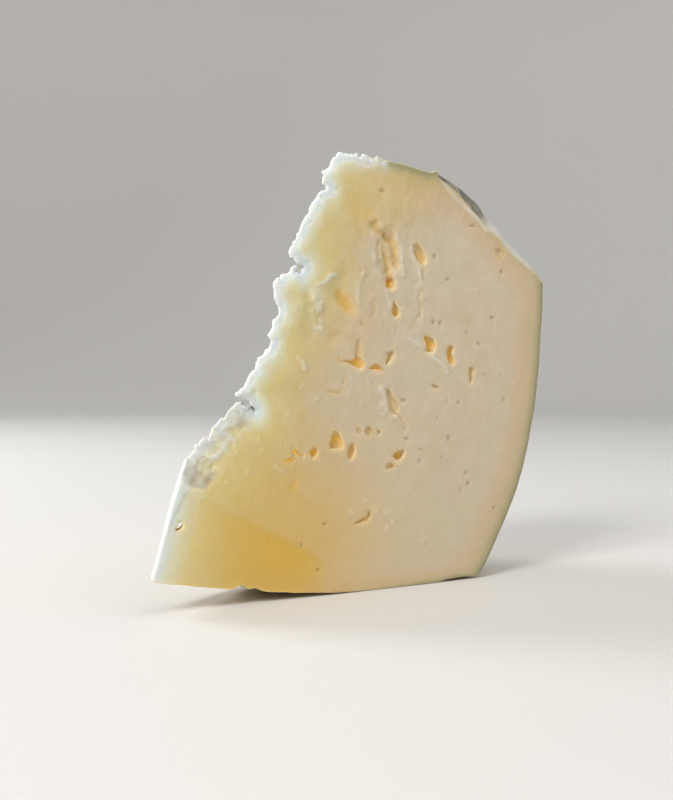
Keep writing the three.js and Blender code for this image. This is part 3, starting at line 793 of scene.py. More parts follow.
# %% Put the wall on the skin
def wall_masks(rows):
    """Masks of the wall: as thick as the wedge is there, or as deep as the break is there; whitish and granular
    on the break, with painted glow brightest next to the front edge; painted golden glow under the tip as the
    front face has; painted shade on the upper part of the pared bevel, which faces away from the light, and a
    painted strip of light lower on it."""
    _, front = front_marks(rows[0][:, 0], rows[0][:, 2])
    number = np.arange(len(rows))[:, None]
    full = np.broadcast_to(reach_of(back_line) * np.tan(WEDGE), rows.shape[:2])
    depth = np.maximum(rows[..., 1], 0) + 0.25
    thick = (1 - torn) * full + torn * np.minimum(depth, full * 2)
    grains = noise(rows.reshape(-1, 3), 1.3, 58).reshape(rows.shape[:2])
    white_grains_and_glow = torn * np.clip(0.15 + 0.25 * grains + 0.6 * np.exp(-depth / 3.0), 0, 1)
    in_wall = smoothstep(0, EDGE_ROWS, number)
    even = np.ones_like(thick)
    of_wheel = np.isin(section, ("underside", "rim", "shoulder", "top"))
    masks = {"thick": thick / THICK_FULL, "white_grains_and_glow": white_grains_and_glow, "gold_glow": 0.8 * even * front["gold_glow"],
             "torn": torn * even, "outer": 0.8 * of_wheel * even, "smear": 0.5 * even}
    both = {name: front.get(name, 0) * (1 - in_wall) + masks.get(name, 0) * in_wall * even for name in MASKS}
    on_bevel = smoothstep(0, 1, number) * smoothstep(EDGE_ROWS + 2, EDGE_ROWS, number)
    streaks = noise(rows.reshape(-1, 3) * [1, 0.25, 1], 1.6, 59).reshape(rows.shape[:2])
    # painted shade: the upper part of the pared bevel faces away from the light and is painted dark grey
    in_shade = along_section("shoulder", smoothstep(0.48, 0.62, along["shoulder"]))
    both["dull"] = on_bevel * np.clip(0.85 + 0.4 * streaks, 0, 1) * in_shade
    # a painted pale strip of light along the lower part of the pared bevel
    up = along["shoulder"]
    painted_pale_light = along_section("shoulder", smoothstep(0.05, 0.15, up) * smoothstep(0.62, 0.5, up))
    both["white_grains_and_glow"] = np.maximum(both["white_grains_and_glow"], 0.6 * on_bevel * painted_pale_light)
    return {name: values.ravel() for name, values in both.items()}


wall_numbers = add_points(wall.reshape(-1, 3), wall_masks(wall)).reshape(wall.shape[:2])
outside = np.isin(section, ("underside", "rim", "top", "crust")) & (torn < 0.5)
middle = (np.arange(LAST) >= EDGE_ROWS) & (np.arange(LAST) < LAST - EDGE_ROWS)
add_grid(wall_numbers, flip=True, is_rind=middle[:, None] & outside[None, :])
print("points on the wall:", wall_numbers.size)

# %% [markdown]
# ## The cut faces
#
# A cut face is filled with triangles by constrained Delaunay triangulation, which keeps the outline and the
# mouths of the eyes as edges and makes the best-shaped triangles between the points that it is given. So the
# points can be close together at the marks and far apart where the face is plain.

# %% Points and triangles of a face
def hexagons(loop, spacing, seed):
    """Points of a hexagonal grid over the loop's box, each moved by up to a fifth of the spacing."""
    low, high = loop.min(axis=0), loop.max(axis=0)
    lines = np.arange(low[1], high[1], spacing * np.sqrt(0.75))
    x, z = np.meshgrid(np.arange(low[0], high[0], spacing), lines)
    x = x + 0.5 * spacing * (np.arange(len(lines)) % 2)[:, None]
    points = np.column_stack([x.ravel(), z.ravel()])
    jitter = np.random.default_rng(seed).uniform(-0.2, 0.2, points.shape)
    return points + jitter * spacing


def near_rings(x, z, rings, reach=2.0):
    """Distance of every point from the nearest ring, but never more than reach; minus one inside a ring."""
    distance = np.full(len(x), reach)
    for ring in rings:
        low, high = ring.min(axis=0) - reach, ring.max(axis=0) + reach
        close = np.flatnonzero((x > low[0]) & (x < high[0]) & (z > low[1]) & (z < high[1]))
        loop = np.vstack([ring, ring[:1]])
        distance[close] = np.minimum(distance[close], distance_to(x[close], z[close], loop))
        within = close[inside(x[close], z[close], ring)]
        distance[within] = -1
    return distance


def keep_inside(points, loop, rings, gap):
    """The points that lie inside the loop and outside the rings, and at least gap from both."""
    points = points[inside(*points.T, loop)]
    points = points[distance_to(*points.T, np.vstack([loop, loop[:1]])) > gap]
    return points[near_rings(*points.T, rings) > gap]


def triangulate(loop, rings, points):
    """Constrained Delaunay triangles, counter-clockwise, as numbers into loop + rings + points."""
    loops = [loop, *rings]
    starts = np.cumsum([0] + [len(one) for one in loops])
    edges = np.vstack([np.column_stack([np.arange(len(one)), np.roll(np.arange(len(one)), -1)]) + start
                       for one, start in zip(loops, starts)])
    everything = np.vstack([*loops, points])
    made = delaunay_2d_cdt(list(map(Vector, everything)), edges.tolist(), [], 1, 1e-6, False)
    if len(made[0]) != len(everything):
        raise ValueError("a loop of this face crosses itself or another one")
    triangles = np.array(made[2])
    corners = everything[triangles]
    middle_x, middle_z = corners.mean(axis=1).T
    kept = inside(middle_x, middle_z, loop) & (near_rings(middle_x, middle_z, rings) >= 0)
    triangles = triangles[kept]
    a, b, c = everything[triangles].transpose(1, 0, 2)
    area = (b[:, 0] - a[:, 0]) * (c[:, 1] - a[:, 1]) - (b[:, 1] - a[:, 1]) * (c[:, 0] - a[:, 0])
    triangles[area < 0] = triangles[area < 0][:, ::-1]
    return triangles


def lips(x, z, rings):
    """The skin dips into each eye's mouth and stands up in a faint rim round it."""
    distance = near_rings(x, z, rings)
    return 0.18 * np.exp(-((distance / 0.36) ** 2)) - 0.03 * np.exp(-(((distance - 0.9) / 0.5) ** 2)), distance


print("grid test:", len(hexagons(front_edge, 2.0, 1)), "points at 2 mm")


# %% The front face
COARSE, FINE = 0.7, 0.38
front_loop = wall[0][:, [0, 2]]
pinhole = mouth(PINHOLE, 60)
front_mouths = [ring for ring, *_ in front_rings] + [pinhole]


def front_skin(x, z):
    """Points of the front face in wedge coordinates with their masks."""
    depth, masks = front_marks(x, z)
    dip, distance = lips(x, z, front_mouths)
    # a faint ring of painted orange glow round each eye's mouth
    masks["hollow_glow"] = np.maximum(masks["hollow_glow"], 0.22 * np.exp(-((distance / 0.5) ** 2)))
    return np.column_stack([x, depth + dip, z]), masks


def wants_detail(x, z):
    """True at the points whose marks need small triangles."""
    depth, masks = front_marks(x, z)
    marked = (masks["white_grains_and_glow"] > 0.06) | (masks["hollow_glow"] > 0.04) | (masks["pit_shade"] > 0.05) | (masks["torn"] > 0.02)
    return marked | (near_rings(x, z, front_mouths) < 0.9)


sparse = keep_inside(hexagons(front_loop, COARSE, 1), front_loop, front_mouths, 0.5 * COARSE)
dense = keep_inside(hexagons(front_loop, FINE, 2), front_loop, front_mouths, 0.55 * FINE)
inner = np.vstack([sparse[~wants_detail(*sparse.T)], dense[wants_detail(*dense.T)]])
front_ring_numbers = [add_points(*front_skin(*ring.T)) for ring in front_mouths]
inner_numbers = add_points(*front_skin(*inner.T))
numbers = np.concatenate([wall_numbers[0], *front_ring_numbers, inner_numbers])
front_triangles = triangulate(front_loop, front_mouths, inner)
add_triangles(numbers[front_triangles])
print("front face:", len(inner), "inner points,", len(front_triangles), "triangles")

# %% The back face
back_x = wall[-1][:, 0] - tip_line(wall[-1][:, 2])
back_loop = np.column_stack([back_x * np.cos(WEDGE) + wall[-1][:, 1] * np.sin(WEDGE), wall[-1][:, 2]])
PINHOLE_BEHIND = np.array([7.7, 19.3])
PINHOLE_WIDER = 1.3  # behind, so that it isn't pinched
pinhole_back = PINHOLE_WIDER * (pinhole - pinhole.mean(axis=0)) + PINHOLE_BEHIND
back_mouths = [np.column_stack([ring[:, 0] - tip_line(ring[:, 1]), ring[:, 1]]) for ring, *_ in back_rings]
back_mouths.append(pinhole_back)


def back_skin(level, z):
    """Points of the back face in wedge coordinates with their masks."""
    depth, masks = back_marks(level, z)
    dip, distance = lips(level, z, back_mouths)
    # a faint ring of painted orange glow round each eye's mouth
    masks["hollow_glow"] = 0.3 * np.exp(-((distance / 0.35) ** 2))
    return from_back(level, z, depth + dip), masks


BACK_COARSE, BACK_FINE = 0.95, 0.45
sparse = keep_inside(hexagons(back_loop, BACK_COARSE, 3), back_loop, back_mouths, 0.45)
dense = keep_inside(hexagons(back_loop, BACK_FINE, 4), back_loop, back_mouths, 0.25)
near_eye = (near_rings(*dense.T, back_mouths) < 1.0)
inner = np.vstack([sparse[near_rings(*sparse.T, back_mouths) >= 1.2], dense[near_eye]])
back_ring_numbers = [add_points(*back_skin(*ring.T)) for ring in back_mouths]
inner_numbers = add_points(*back_skin(*inner.T))
numbers = np.concatenate([wall_numbers[-1], *back_ring_numbers, inner_numbers])
back_triangles = triangulate(back_loop, back_mouths, inner)
add_triangles(numbers[back_triangles][:, ::-1])
print("back face:", len(inner), "inner points,", len(back_triangles), "triangles")


# %% [markdown]
# ## Bowls behind the mouths
#
# A mouth can be a crescent or a star, so shrinking it towards its middle would fold it over itself. Heat flow
# does better: the ring is taken apart into waves, and the short waves are damped first, so that it turns round
# as it shrinks. The same recipe serves both faces, which differ only in where a depth leads.

# %% Sew in the bowls
BOWL_ROWS = 7


def bowl(ring, depth, seed):
    """Rows (x, z, depth) of a bowl. Wave k of the ring is multiplied by exp(-k k T), with T = -log of the wanted
    shrink cos(90 v)^0.55; the depth is depth sin(90 v)^0.9; v is the share of the way down."""
    waves = np.fft.fft(ring[:, 0] + 1j * ring[:, 1])
    k = np.fft.fftfreq(len(ring), 1 / len(ring))
    v = np.linspace(0, 1, BOWL_ROWS + 2)[1:-1, None]
    flow = -0.55 * np.log(np.cos(0.5 * np.pi * v))
    rows = np.fft.ifft(waves * np.exp(-(k**2) * flow), axis=1)
    middle_point = rows.mean(axis=1, keepdims=True)
    lean = 0.25 * depth * np.exp(1j * 2.4 * seed) * v
    rows = middle_point + (rows - middle_point) * (1 + 0.14 * np.sin(np.pi * v)) + lean
    down = depth * np.sin(0.5 * np.pi * v) ** 0.9 * np.ones(len(ring))
    rough = on_face(rows.real.ravel(), rows.imag.ravel(), 3.0 * seed)
    rough[:, 1] += 2 * down.ravel()
    rough = (0.16 * noise(rough, 0.9, seed) + 0.06 * noise(rough, 0.4, seed + 1)).reshape(rows.shape)
    outward = rows - middle_point
    rows = rows + rough * outward / (np.abs(outward) + 1e-6) * np.sin(np.pi * v)
    return rows.real, rows.imag, down + 0.7 * rough * v


def sew_bowl(ring_numbers, ring, depth, tone, seed, place, marks, flip):
    """Adds a bowl behind a ring that is already on the skin. Place turns face coordinates and a depth into wedge
    coordinates, and marks gives the face's own depth and masks."""
    x, z, down = bowl(ring, depth, seed)
    sag, masks = marks(x.ravel(), z.ravel())
    v = np.repeat(np.linspace(0, 1, BOWL_ROWS + 2)[1:-1], len(ring))
    patchy = 0.8 + 0.35 * noise(np.column_stack([x.ravel(), down.ravel(), z.ravel()]), 1.0, seed)
    # painted orange glow of light in the eye, stronger deeper in the bowl
    masks = {"thick": masks["thick"], "hollow_glow": tone * smoothstep(0, 0.75, v) * patchy}
    rows = add_points(place(x.ravel(), z.ravel(), sag + down.ravel()), masks).reshape(x.shape)
    add_grid(np.vstack([ring_numbers, rows]), flip=flip)
    floor_depth = sag[-len(ring):].mean() + down[-1].mean() + 0.02
    middle_point = place(x[-1:].mean(axis=1), z[-1:].mean(axis=1), np.array([floor_depth]))
    centre = add_points(middle_point, {"thick": masks["thick"].mean(), "hollow_glow": tone})[0]
    fan = np.column_stack([rows[-1], np.roll(rows[-1], -1), np.full(len(ring), centre)])
    add_triangles(fan[:, ::-1] if flip else fan)


def place_front(x, z, depth):
    """Wedge coordinates of points that lie depth behind the front face."""
    return np.column_stack([x, depth, z])


for i, (ring, depth, tone) in enumerate(front_rings):
    sew_bowl(front_ring_numbers[i], ring, depth, tone, i + 1, place_front, front_marks, flip=False)
for i, (ring, (_, depth, tone)) in enumerate(zip(back_mouths, back_rings)):
    sew_bowl(back_ring_numbers[i], ring, depth, tone, i + 50, from_back, back_marks, flip=True)
print("bowls:", len(front_rings) + len(back_rings))

# %% The pinhole through the tip
TUBE_ROWS = 7
mouth_in, _ = front_skin(*pinhole.T)
mouth_out, masks_out = back_skin(*pinhole_back.T)
share = np.linspace(0, 1, TUBE_ROWS + 2)[1:-1, None, None]
tube = mouth_in * (1 - share) + mouth_out * share
tube_middle = tube.mean(axis=1, keepdims=True)
tube = tube_middle + (tube - tube_middle) * (1 - 0.1 * np.sin(np.pi * share))
tube += 0.06 * noise(tube.reshape(-1, 3), 0.5, 61).reshape(tube.shape[:2])[..., None]
# painted orange glow inside the pinhole
tube_numbers = add_points(tube.reshape(-1, 3), {"thick": masks_out["thick"].mean(), "hollow_glow": 0.3})
rows = np.vstack([front_ring_numbers[-1], tube_numbers.reshape(TUBE_ROWS, -1), back_ring_numbers[-1]])
add_grid(rows)
print("pinhole rows:", rows.shape)

# %% [markdown]
# ## From arrays to a Blender mesh
#
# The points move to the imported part's place and become metres. The masks go with them as float attributes, one
# value to a point, so a material can read them by name. Before going on it is worth proving that the skin is
# closed: every edge has to be walked once in each direction.

# %% Make the mesh
def make_mesh(name):
    """A mesh of the whole skin, with its masks as point attributes and the rind as its second material."""
    points = (np.vstack(skin["points"]) + SHIFT) * MM
    points[:, 2] = np.maximum(points[:, 2], 0)
    triangles = np.vstack(skin["triangles"])
    mesh = bpy.data.meshes.new(name)
    mesh.from_pydata(points.tolist(), [], triangles.tolist())
    mesh.polygons.foreach_set("use_smooth", np.ones(len(triangles), bool))
    mesh.polygons.foreach_set("material_index", np.concatenate(skin["rind"]).astype(np.int32))
    for mask_name in MASKS:
        values = np.clip(np.concatenate(skin[mask_name]), 0, 1)
        mesh.attributes.new(mask_name, "FLOAT", "POINT").data.foreach_set("value", values.astype(np.float32))
    return mesh, points, triangles


wedge_mesh, points, triangles = make_mesh("wedge_of_cheese")
wedge = bpy.data.objects.new("wedge_of_cheese", wedge_mesh)
bpy.context.scene.collection.objects.link(wedge)
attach(wedge, "root")
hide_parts("cheese_wedge")

# %% Prove that it is closed
walked_edges = np.concatenate([triangles[:, [0, 1]], triangles[:, [1, 2]], triangles[:, [2, 0]]])
walked_edges = walked_edges.astype(np.int64)
forward = np.sort(walked_edges[:, 0] * len(points) + walked_edges[:, 1])
backward = np.sort(walked_edges[:, 1] * len(points) + walked_edges[:, 0])
a, b, c = points[triangles].transpose(1, 0, 2)
volume = np.einsum("ij,ij->i", a, np.cross(b, c)).sum() / 6
closed = bool((forward == backward).all() and (np.diff(forward) > 0).all())
print("triangles:", len(triangles), "closed:", closed)
print("volume in cubic centimetres:", round(volume * 1e6, 1))
print("visual box in mm:", (points.min(axis=0) / MM).round(1), (points.max(axis=0) / MM).round(1))

# %% [markdown]
# ## Nodes in Python
#
# A material is a tree of nodes. Three small helpers keep the wiring readable: one adds a node with its
# settings, one plugs values or other nodes into its inputs, and one makes a node group with named sockets.

# %% Node helpers
def add_node(tree, kind, inputs=None, **settings):
    """Adds a node, sets its properties, and fills its inputs: an output socket is linked, and a plain value
    is set on the socket."""
    node = tree.nodes.new("ShaderNode" + kind)
    for name, value in settings.items():
        setattr(node, name, value)
    for key, value in (inputs or {}).items():
        if isinstance(value, bpy.types.NodeSocket):
            tree.links.new(value, node.inputs[key])
        else:
            node.inputs[key].default_value = value
    return node


def math(tree, operation, *values):
    """A Math node; returns its output."""
    return add_node(tree, "Math", dict(enumerate(values)), operation=operation).outputs[0]


def blend(tree, share, below, above):
    """A colour Mix node; returns its colour output."""
    node = add_node(tree, "Mix", data_type="RGBA")
    for socket, value in zip((node.inputs[0], node.inputs[6], node.inputs[7]), (share, below, above)):
        if isinstance(value, bpy.types.NodeSocket):
            tree.links.new(value, socket)
        else:
            socket.default_value = value
    return node.outputs[2]


def node_group(name, inputs, output, kind):
    """A node group with float or vector inputs and one output; returns the tree and its two end nodes."""
    tree = bpy.data.node_groups.new(name, "ShaderNodeTree")
    for label, default in inputs.items():
        socket_type = "NodeSocketVector" if default is None else "NodeSocketFloat"
        socket = tree.interface.new_socket(label, in_out="INPUT", socket_type=socket_type)
        if default is not None:
            socket.default_value = default
    tree.interface.new_socket(output, in_out="OUTPUT", socket_type=kind)
    return tree, tree.nodes.new("NodeGroupInput").outputs, tree.nodes.new("NodeGroupOutput").inputs


def srgb(red, green, blue):
    """A colour given as 0 to 255 on a screen, as the linear values that Blender works in."""
    c = np.array([red, green, blue]) / 255
    linear = np.where(c <= 0.04045, c / 12.92, ((c + 0.055) / 1.055) ** 2.4)
    return (*linear.tolist(), 1.0)


print("helpers ready:", srgb(200, 180, 150))

# %% [markdown]
# ## Patterns that paste and rind share
#
# Both the paste and the rind have slow patches of colour, from how the curd dried, and a fine grain that is
# felt more than seen. Each pattern is a node group, so that both materials use the same one at their own size.

# %% Shared groups
def make_patches():
    """Patches: noise of the given size with soft contrast, from 0 to 1."""
    tree, given, out = node_group("patches", {"Position": None, "Size": 0.02}, "Mask", "NodeSocketFloat")
    scale = math(tree, "DIVIDE", 1.0, given["Size"])
    field = add_node(tree, "TexNoise", {
        "Vector": given["Position"], "Scale": scale, "Detail": 4.0, "Roughness": 0.55})
    spread = add_node(tree, "MapRange", {"Value": field.outputs["Fac"], "From Min": 0.32, "From Max": 0.68})
    tree.links.new(spread.outputs["Result"], out["Mask"])
    return tree


def make_grain():
    """Grain: rounded curd grains from cells, with a finer noise over them, as a height from 0 to 1."""
    tree, given, out = node_group("grain", {"Position": None, "Size": 0.001}, "Height", "NodeSocketFloat")
    scale = math(tree, "DIVIDE", 1.0, given["Size"])
    warp = add_node(tree, "TexNoise", {"Vector": given["Position"], "Scale": scale, "Detail": 2.0})
    bent = add_node(tree, "VectorMath", {0: warp.outputs["Color"], 3: 0.0006}, operation="SCALE")
    moved = add_node(tree, "VectorMath", {0: given["Position"], 1: bent.outputs[0]}, operation="ADD")
    cells = add_node(tree, "TexVoronoi", {"Vector": moved.outputs[0], "Scale": scale}, feature="SMOOTH_F1")
    fine = math(tree, "MULTIPLY", scale, 2.7)
    dust = add_node(tree, "TexNoise", {
        "Vector": given["Position"], "Scale": fine, "Detail": 5.0, "Roughness": 0.6})
    both = math(tree, "MULTIPLY_ADD", cells.outputs["Distance"], 0.5, dust.outputs["Fac"])
    tree.links.new(both, out["Height"])
    return tree


PATCHES, GRAIN = make_patches(), make_grain()


def use_group(tree, group, position, size):
    """Places a shared group in a material and returns its output."""
    node = add_node(tree, "Group", node_tree=group)
    tree.links.new(position, node.inputs["Position"])
    node.inputs["Size"].default_value = size
    return node.outputs[0]


print("groups:", PATCHES.name, GRAIN.name)

# %% [markdown]
# ## Paste
#
# Paste is fat and protein full of light: thin parts glow and thick parts look chalky. Subsurface scattering
# gives the glow itself. The colour still has to change with thickness, from a bluish white feather edge over
# honey to a pinkish cream, so a ramp reads the thickness mask: the cream is the paste's own colour, and the
# bluish white and honey of the thin parts are painted glow of light shining through them. The other masks tint
# it: painted orange glow in the hollows, white on broken grains with painted glow and glints on the thin edges
# and ridges, painted golden glow under the tip and the knife's crease, painted shade brown in the pinpricks,
# grooves and hollows, painted shade grey on the upper part of the pared bevel, and painted shade between the
# grains of the break.

# %% Paste material
# the paste's own cream where it is thick, painted glow of light shining through where it is thin
PASTE_AND_GLOW_BY_THICKNESS = [(0.00, (210, 224, 232)), (0.06, (220, 229, 224)), (0.11, (222, 221, 190)),
                      (0.20, (220, 205, 144)), (0.34, (215, 196, 134)), (0.55, (212, 190, 142)),
                      (0.80, (211, 192, 165)), (1.00, (212, 195, 171))]
OUTER_SHARE = [(0.0, 0.0), (0.25, 0.15), (0.5, 0.45), (0.76, 0.55), (0.9, 0.8), (1.0, 0.95)]
OUTER_COLOUR = [(0.0, (210, 186, 158)), (0.45, (216, 182, 142)), (0.72, (202, 180, 130)),
                (0.88, (178, 166, 124)), (1.0, (132, 136, 116))]
GOLD_GLOW_COLOUR = srgb(220, 179, 54)
HOLLOW_GLOW_COLOUR = srgb(255, 206, 62)
BROKEN_WHITE_AND_GLOW = srgb(214, 220, 222)
PIT_SHADE = srgb(160, 136, 98)
BEVEL_SHADE = srgb(106, 104, 94)


def ramp(tree, share, stops):
    """A Color Ramp node through (position, screen colour) stops."""
    node = add_node(tree, "ValToRGB", {"Fac": share})
    elements = node.color_ramp.elements
    elements[0].position, elements[0].color = stops[0][0], srgb(*stops[0][1])
    elements[1].position, elements[1].color = stops[-1][0], srgb(*stops[-1][1])
    for position, colour in stops[1:-1]:
        elements.new(position).color = srgb(*colour)
    return node.outputs["Color"]


def linear_grey(share):
    """The screen grey whose linear value is the share, so that a colour ramp can serve as a curve."""
    return (255 * (1.055 * max(share, 0.0032) ** (1 / 2.4) - 0.055),) * 3


def new_material(name):
    """An empty node material with its output; returns the material, its tree and the output node."""
    material = bpy.data.materials.new(name)
    material.use_nodes = True
    material.node_tree.nodes.clear()
    return material, material.node_tree, add_node(material.node_tree, "OutputMaterial")


def mask(tree, name):
    """The value of one of the skin's masks."""
    return add_node(tree, "Attribute", attribute_name=name).outputs["Fac"]


def make_paste():
    """Paste: ramp by thickness with painted glow in the thin parts, patches of warm and cool, tints by mask
    with painted glow, glints and shade; bump from grain and knife smears.
    """
    material, tree, out = new_material("cheese_paste")
    position = add_node(tree, "TexCoord").outputs["Object"]
    wide = use_group(tree, PATCHES, position, 0.024)
    close = use_group(tree, PATCHES, position, 0.004)
    thick, outer = mask(tree, "thick"), mask(tree, "outer")
    most, rest = (math(tree, "MULTIPLY", thick, share) for share in (0.85, 0.3))
    uneven = math(tree, "MULTIPLY_ADD", wide, rest, most)
    # painted glow: the ramp makes the thin parts bluish white and honey as if lit from behind
    colour = ramp(tree, uneven, PASTE_AND_GLOW_BY_THICKNESS)
    cool = math(tree, "MULTIPLY", math(tree, "MULTIPLY", wide, thick), 0.35)
    colour = blend(tree, cool, colour, srgb(206, 202, 170))
    colour = blend(tree, math(tree, "MULTIPLY", close, 0.24), colour, srgb(226, 216, 196))
    shares = ramp(tree, outer, [(at, linear_grey(share)) for at, share in OUTER_SHARE])
    zone = add_node(tree, "RGBToBW", {"Color": shares})
    colour = blend(tree, zone.outputs[0], colour, ramp(tree, outer, OUTER_COLOUR))
    # painted golden glow under the tip and below the knife's crease
    colour = blend(tree, math(tree, "MULTIPLY", mask(tree, "gold_glow"), 0.88), colour, GOLD_GLOW_COLOUR)
    # painted orange glow of light in the eyes and hollows
    colour = blend(tree, mask(tree, "hollow_glow"), colour, HOLLOW_GLOW_COLOUR)
    # white of broken grains and crumbs, with painted glow on the thin edges and painted glints on the ridges
    colour = blend(tree, math(tree, "MULTIPLY", mask(tree, "white_grains_and_glow"), 0.85), colour, BROKEN_WHITE_AND_GLOW)
    # painted shade in the pinpricks, grooves and hollows, and at the spall's shaded ends
    colour = blend(tree, math(tree, "MULTIPLY", mask(tree, "pit_shade"), 0.55), colour, PIT_SHADE)
    # painted shade grey on the upper part of the pared bevel
    colour = blend(tree, mask(tree, "dull"), colour, BEVEL_SHADE)
    crumb = use_group(tree, PATCHES, position, 0.0016)
    # painted shade: brownish darkening between the grains of the break
    grain_shade = math(tree, "MULTIPLY", math(tree, "MULTIPLY", mask(tree, "torn"), crumb), 0.3)
    colour = blend(tree, grain_shade, colour, srgb(176, 164, 136))

    grain = use_group(tree, GRAIN, position, 0.0011)
    along_cut = add_node(tree, "Mapping", {
        "Vector": position, "Rotation": (0, 0.3, 0), "Scale": (800, 800, 480)})
    drag = add_node(tree, "TexNoise", {
        "Vector": along_cut.outputs[0], "Scale": 1.0, "Detail": 4.0, "Distortion": 0.4})
    coarse = math(tree, "MULTIPLY_ADD", mask(tree, "torn"), 1.0, 0.3)
    height = math(tree, "MULTIPLY", grain, coarse)
    dragged = math(tree, "MULTIPLY_ADD", mask(tree, "smear"), 1.3, 0.3)
    height = math(tree, "MULTIPLY_ADD", drag.outputs["Fac"], dragged, height)
    height = math(tree, "MULTIPLY_ADD", crumb, 0.5, height)
    bump = add_node(tree, "Bump", {"Height": height, "Strength": 0.5, "Distance": 0.00025})
    dull = math(tree, "MULTIPLY_ADD", mask(tree, "torn"), 0.2, math(tree, "MULTIPLY_ADD", close, 0.12, 0.38))

    surface = add_node(tree, "BsdfPrincipled", {
        "Base Color": colour, "Roughness": dull, "Normal": bump.outputs[0], "IOR": 1.42,
        "Subsurface Weight": 1.0, "Subsurface Radius": (1.0, 0.86, 0.62), "Subsurface Scale": 0.0016})
    tree.links.new(surface.outputs[0], out.inputs["Surface"])
    return material


# %% [markdown]
# ## Rind
#
# The wheel's outside is the same paste, dried and pressed: straw-coloured, less translucent, matt, with broad
# patches and a close grain. It gets the shared patterns at other sizes.

# %% Rind material
def make_rind():
    """Rind: two straw colours mixed by patches, darker in the grain, matt."""
    material, tree, out = new_material("cheese_rind")
    position = add_node(tree, "TexCoord").outputs["Object"]
    wide = use_group(tree, PATCHES, position, 0.018)
    close = use_group(tree, PATCHES, position, 0.003)
    colour = blend(tree, wide, srgb(220, 196, 142), srgb(206, 178, 122))
    colour = blend(tree, math(tree, "MULTIPLY", close, 0.35), colour, srgb(232, 218, 184))
    grain = use_group(tree, GRAIN, position, 0.0009)
    bump = add_node(tree, "Bump", {"Height": grain, "Strength": 0.5, "Distance": 0.00025})
    surface = add_node(tree, "BsdfPrincipled", {
        "Base Color": colour, "Roughness": math(tree, "MULTIPLY_ADD", close, 0.15, 0.55),
        "Normal": bump.outputs[0], "IOR": 1.42, "Subsurface Weight": 1.0,
        "Subsurface Radius": (1.0, 0.86, 0.62), "Subsurface Scale": 0.0015})
    tree.links.new(surface.outputs[0], out.inputs["Surface"])
    return material


wedge_mesh.materials.append(make_paste())
wedge_mesh.materials.append(make_rind())
print("materials:", [material.name for material in wedge_mesh.materials])

# %% [markdown]
# ## Floor and light
#
# A pale round sweep serves as floor and backdrop from every side: flat round the wedge, then curving up. Its
# profile is carried round a circle, as a lathe would. Large area lights keep the shadows soft; one of them
# stands behind the tip, because a thin edge only glows with light behind it.

# %% The sweep
FLOOR_FLAT = 0.9
WALL_CURVE = 0.5
WALL_HEIGHT = 1.6


def make_sweep():
    """A profile carried round the z axis: level to FLOOR_FLAT, a quarter circle of WALL_CURVE, then upright."""
    bend = np.linspace(0, 0.5 * np.pi, 24)
    radius = np.r_[np.linspace(0.02, FLOOR_FLAT, 12), FLOOR_FLAT + WALL_CURVE * np.sin(bend[1:]),
                   FLOOR_FLAT + WALL_CURVE]
    height = np.r_[np.zeros(12), WALL_CURVE * (1 - np.cos(bend[1:])), WALL_HEIGHT]
    turn = np.linspace(0, 2 * np.pi, 96, endpoint=False)
    rows = np.stack([radius[:, None] * np.cos(turn), radius[:, None] * np.sin(turn),
                     height[:, None] * np.ones(96)], axis=-1)
    grid = np.arange(rows[..., 0].size).reshape(rows.shape[:2])
    ahead = np.roll(grid, -1, axis=1)
    faces = np.stack([grid[:-1], ahead[:-1], ahead[1:], grid[1:]], axis=-1).reshape(-1, 4)[:, ::-1]
    mesh = bpy.data.meshes.new("sweep")
    mesh.from_pydata(rows.reshape(-1, 3).tolist(), [], faces.tolist() + [grid[0].tolist()])
    mesh.polygons.foreach_set("use_smooth", np.ones(len(mesh.polygons), bool))
    return bpy.data.objects.new("sweep", mesh)


sweep = make_sweep()
bpy.context.scene.collection.objects.link(sweep)
material, tree, out = new_material("pale_sweep")
surface = add_node(tree, "BsdfPrincipled", {"Base Color": srgb(214, 212, 208), "Roughness": 0.6})
tree.links.new(surface.outputs[0], out.inputs["Surface"])
sweep.data.materials.append(material)
print("sweep:", len(sweep.data.polygons), "faces")


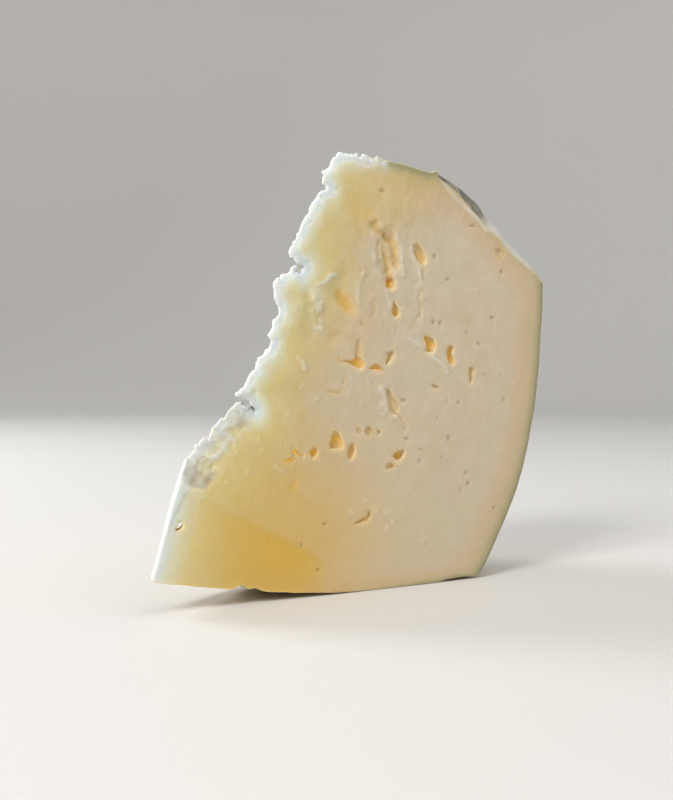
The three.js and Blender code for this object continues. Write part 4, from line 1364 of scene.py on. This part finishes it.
# %% The lights
def area_light(name, place, aim, size, power, colour=(1, 1, 1)):
    """A square area light at a place in metres, aimed at a point."""
    data = bpy.data.lights.new(name, "AREA")
    data.size, data.energy, data.color = size, power, colour
    light = bpy.data.objects.new(name, data)
    light.location = place
    light.rotation_euler = (Vector(aim) - Vector(place)).to_track_quat("-Z", "Y").to_euler()
    light.visible_camera = False
    bpy.context.scene.collection.objects.link(light)
    return light


MIDDLE, TIP_SIDE = (0, 0, 0.05), (-0.02, 0, 0.05)
WARM, COOL = (1.0, 0.99, 0.97), (0.97, 0.98, 1.0)
area_light("front_light", (-0.85, -0.45, 0.75), MIDDLE, size=0.45, power=9.8, colour=WARM)
area_light("back_light", (-0.40, 0.62, 0.42), TIP_SIDE, size=0.35, power=4.6, colour=COOL)
area_light("top_light", (0.35, -0.2, 0.95), MIDDLE, size=0.7, power=3.7)
world = bpy.data.worlds.new("studio")
world.use_nodes = True
world.node_tree.nodes["Background"].inputs["Color"].default_value = (0.9, 0.93, 1.0, 1.0)
world.node_tree.nodes["Background"].inputs["Strength"].default_value = 0.32
bpy.context.scene.world = world
bpy.context.scene.view_settings.view_transform = "Standard"

# %% [markdown]
# ## Camera
#
# The camera stands close and low, a little left of the front face's normal, so that the tip comes towards it.
# Its place is given from the wedge's own frame, and it looks very slightly down.

# %% The camera
CAMERA_PLACE = Vector((-149.2, -269.5, 56.97)) * MM
CAMERA_TURN = np.radians(30.0)
CAMERA_DOWN = np.radians(2.157)
camera_data = bpy.data.cameras.new("camera")
camera_data.lens, camera_data.sensor_width = 53.8, 36.0
camera_data.clip_start, camera_data.clip_end = 0.01, 20.0
camera = bpy.data.objects.new("camera", camera_data)
camera.location = CAMERA_PLACE
looking = Vector((np.sin(CAMERA_TURN) * np.cos(CAMERA_DOWN), np.cos(CAMERA_TURN) * np.cos(CAMERA_DOWN),
                  -np.sin(CAMERA_DOWN)))
camera.rotation_euler = looking.to_track_quat("-Z", "Y").to_euler()
bpy.context.scene.collection.objects.link(camera)
bpy.context.scene.camera = camera
print("camera looks along", tuple(round(value, 3) for value in looking))
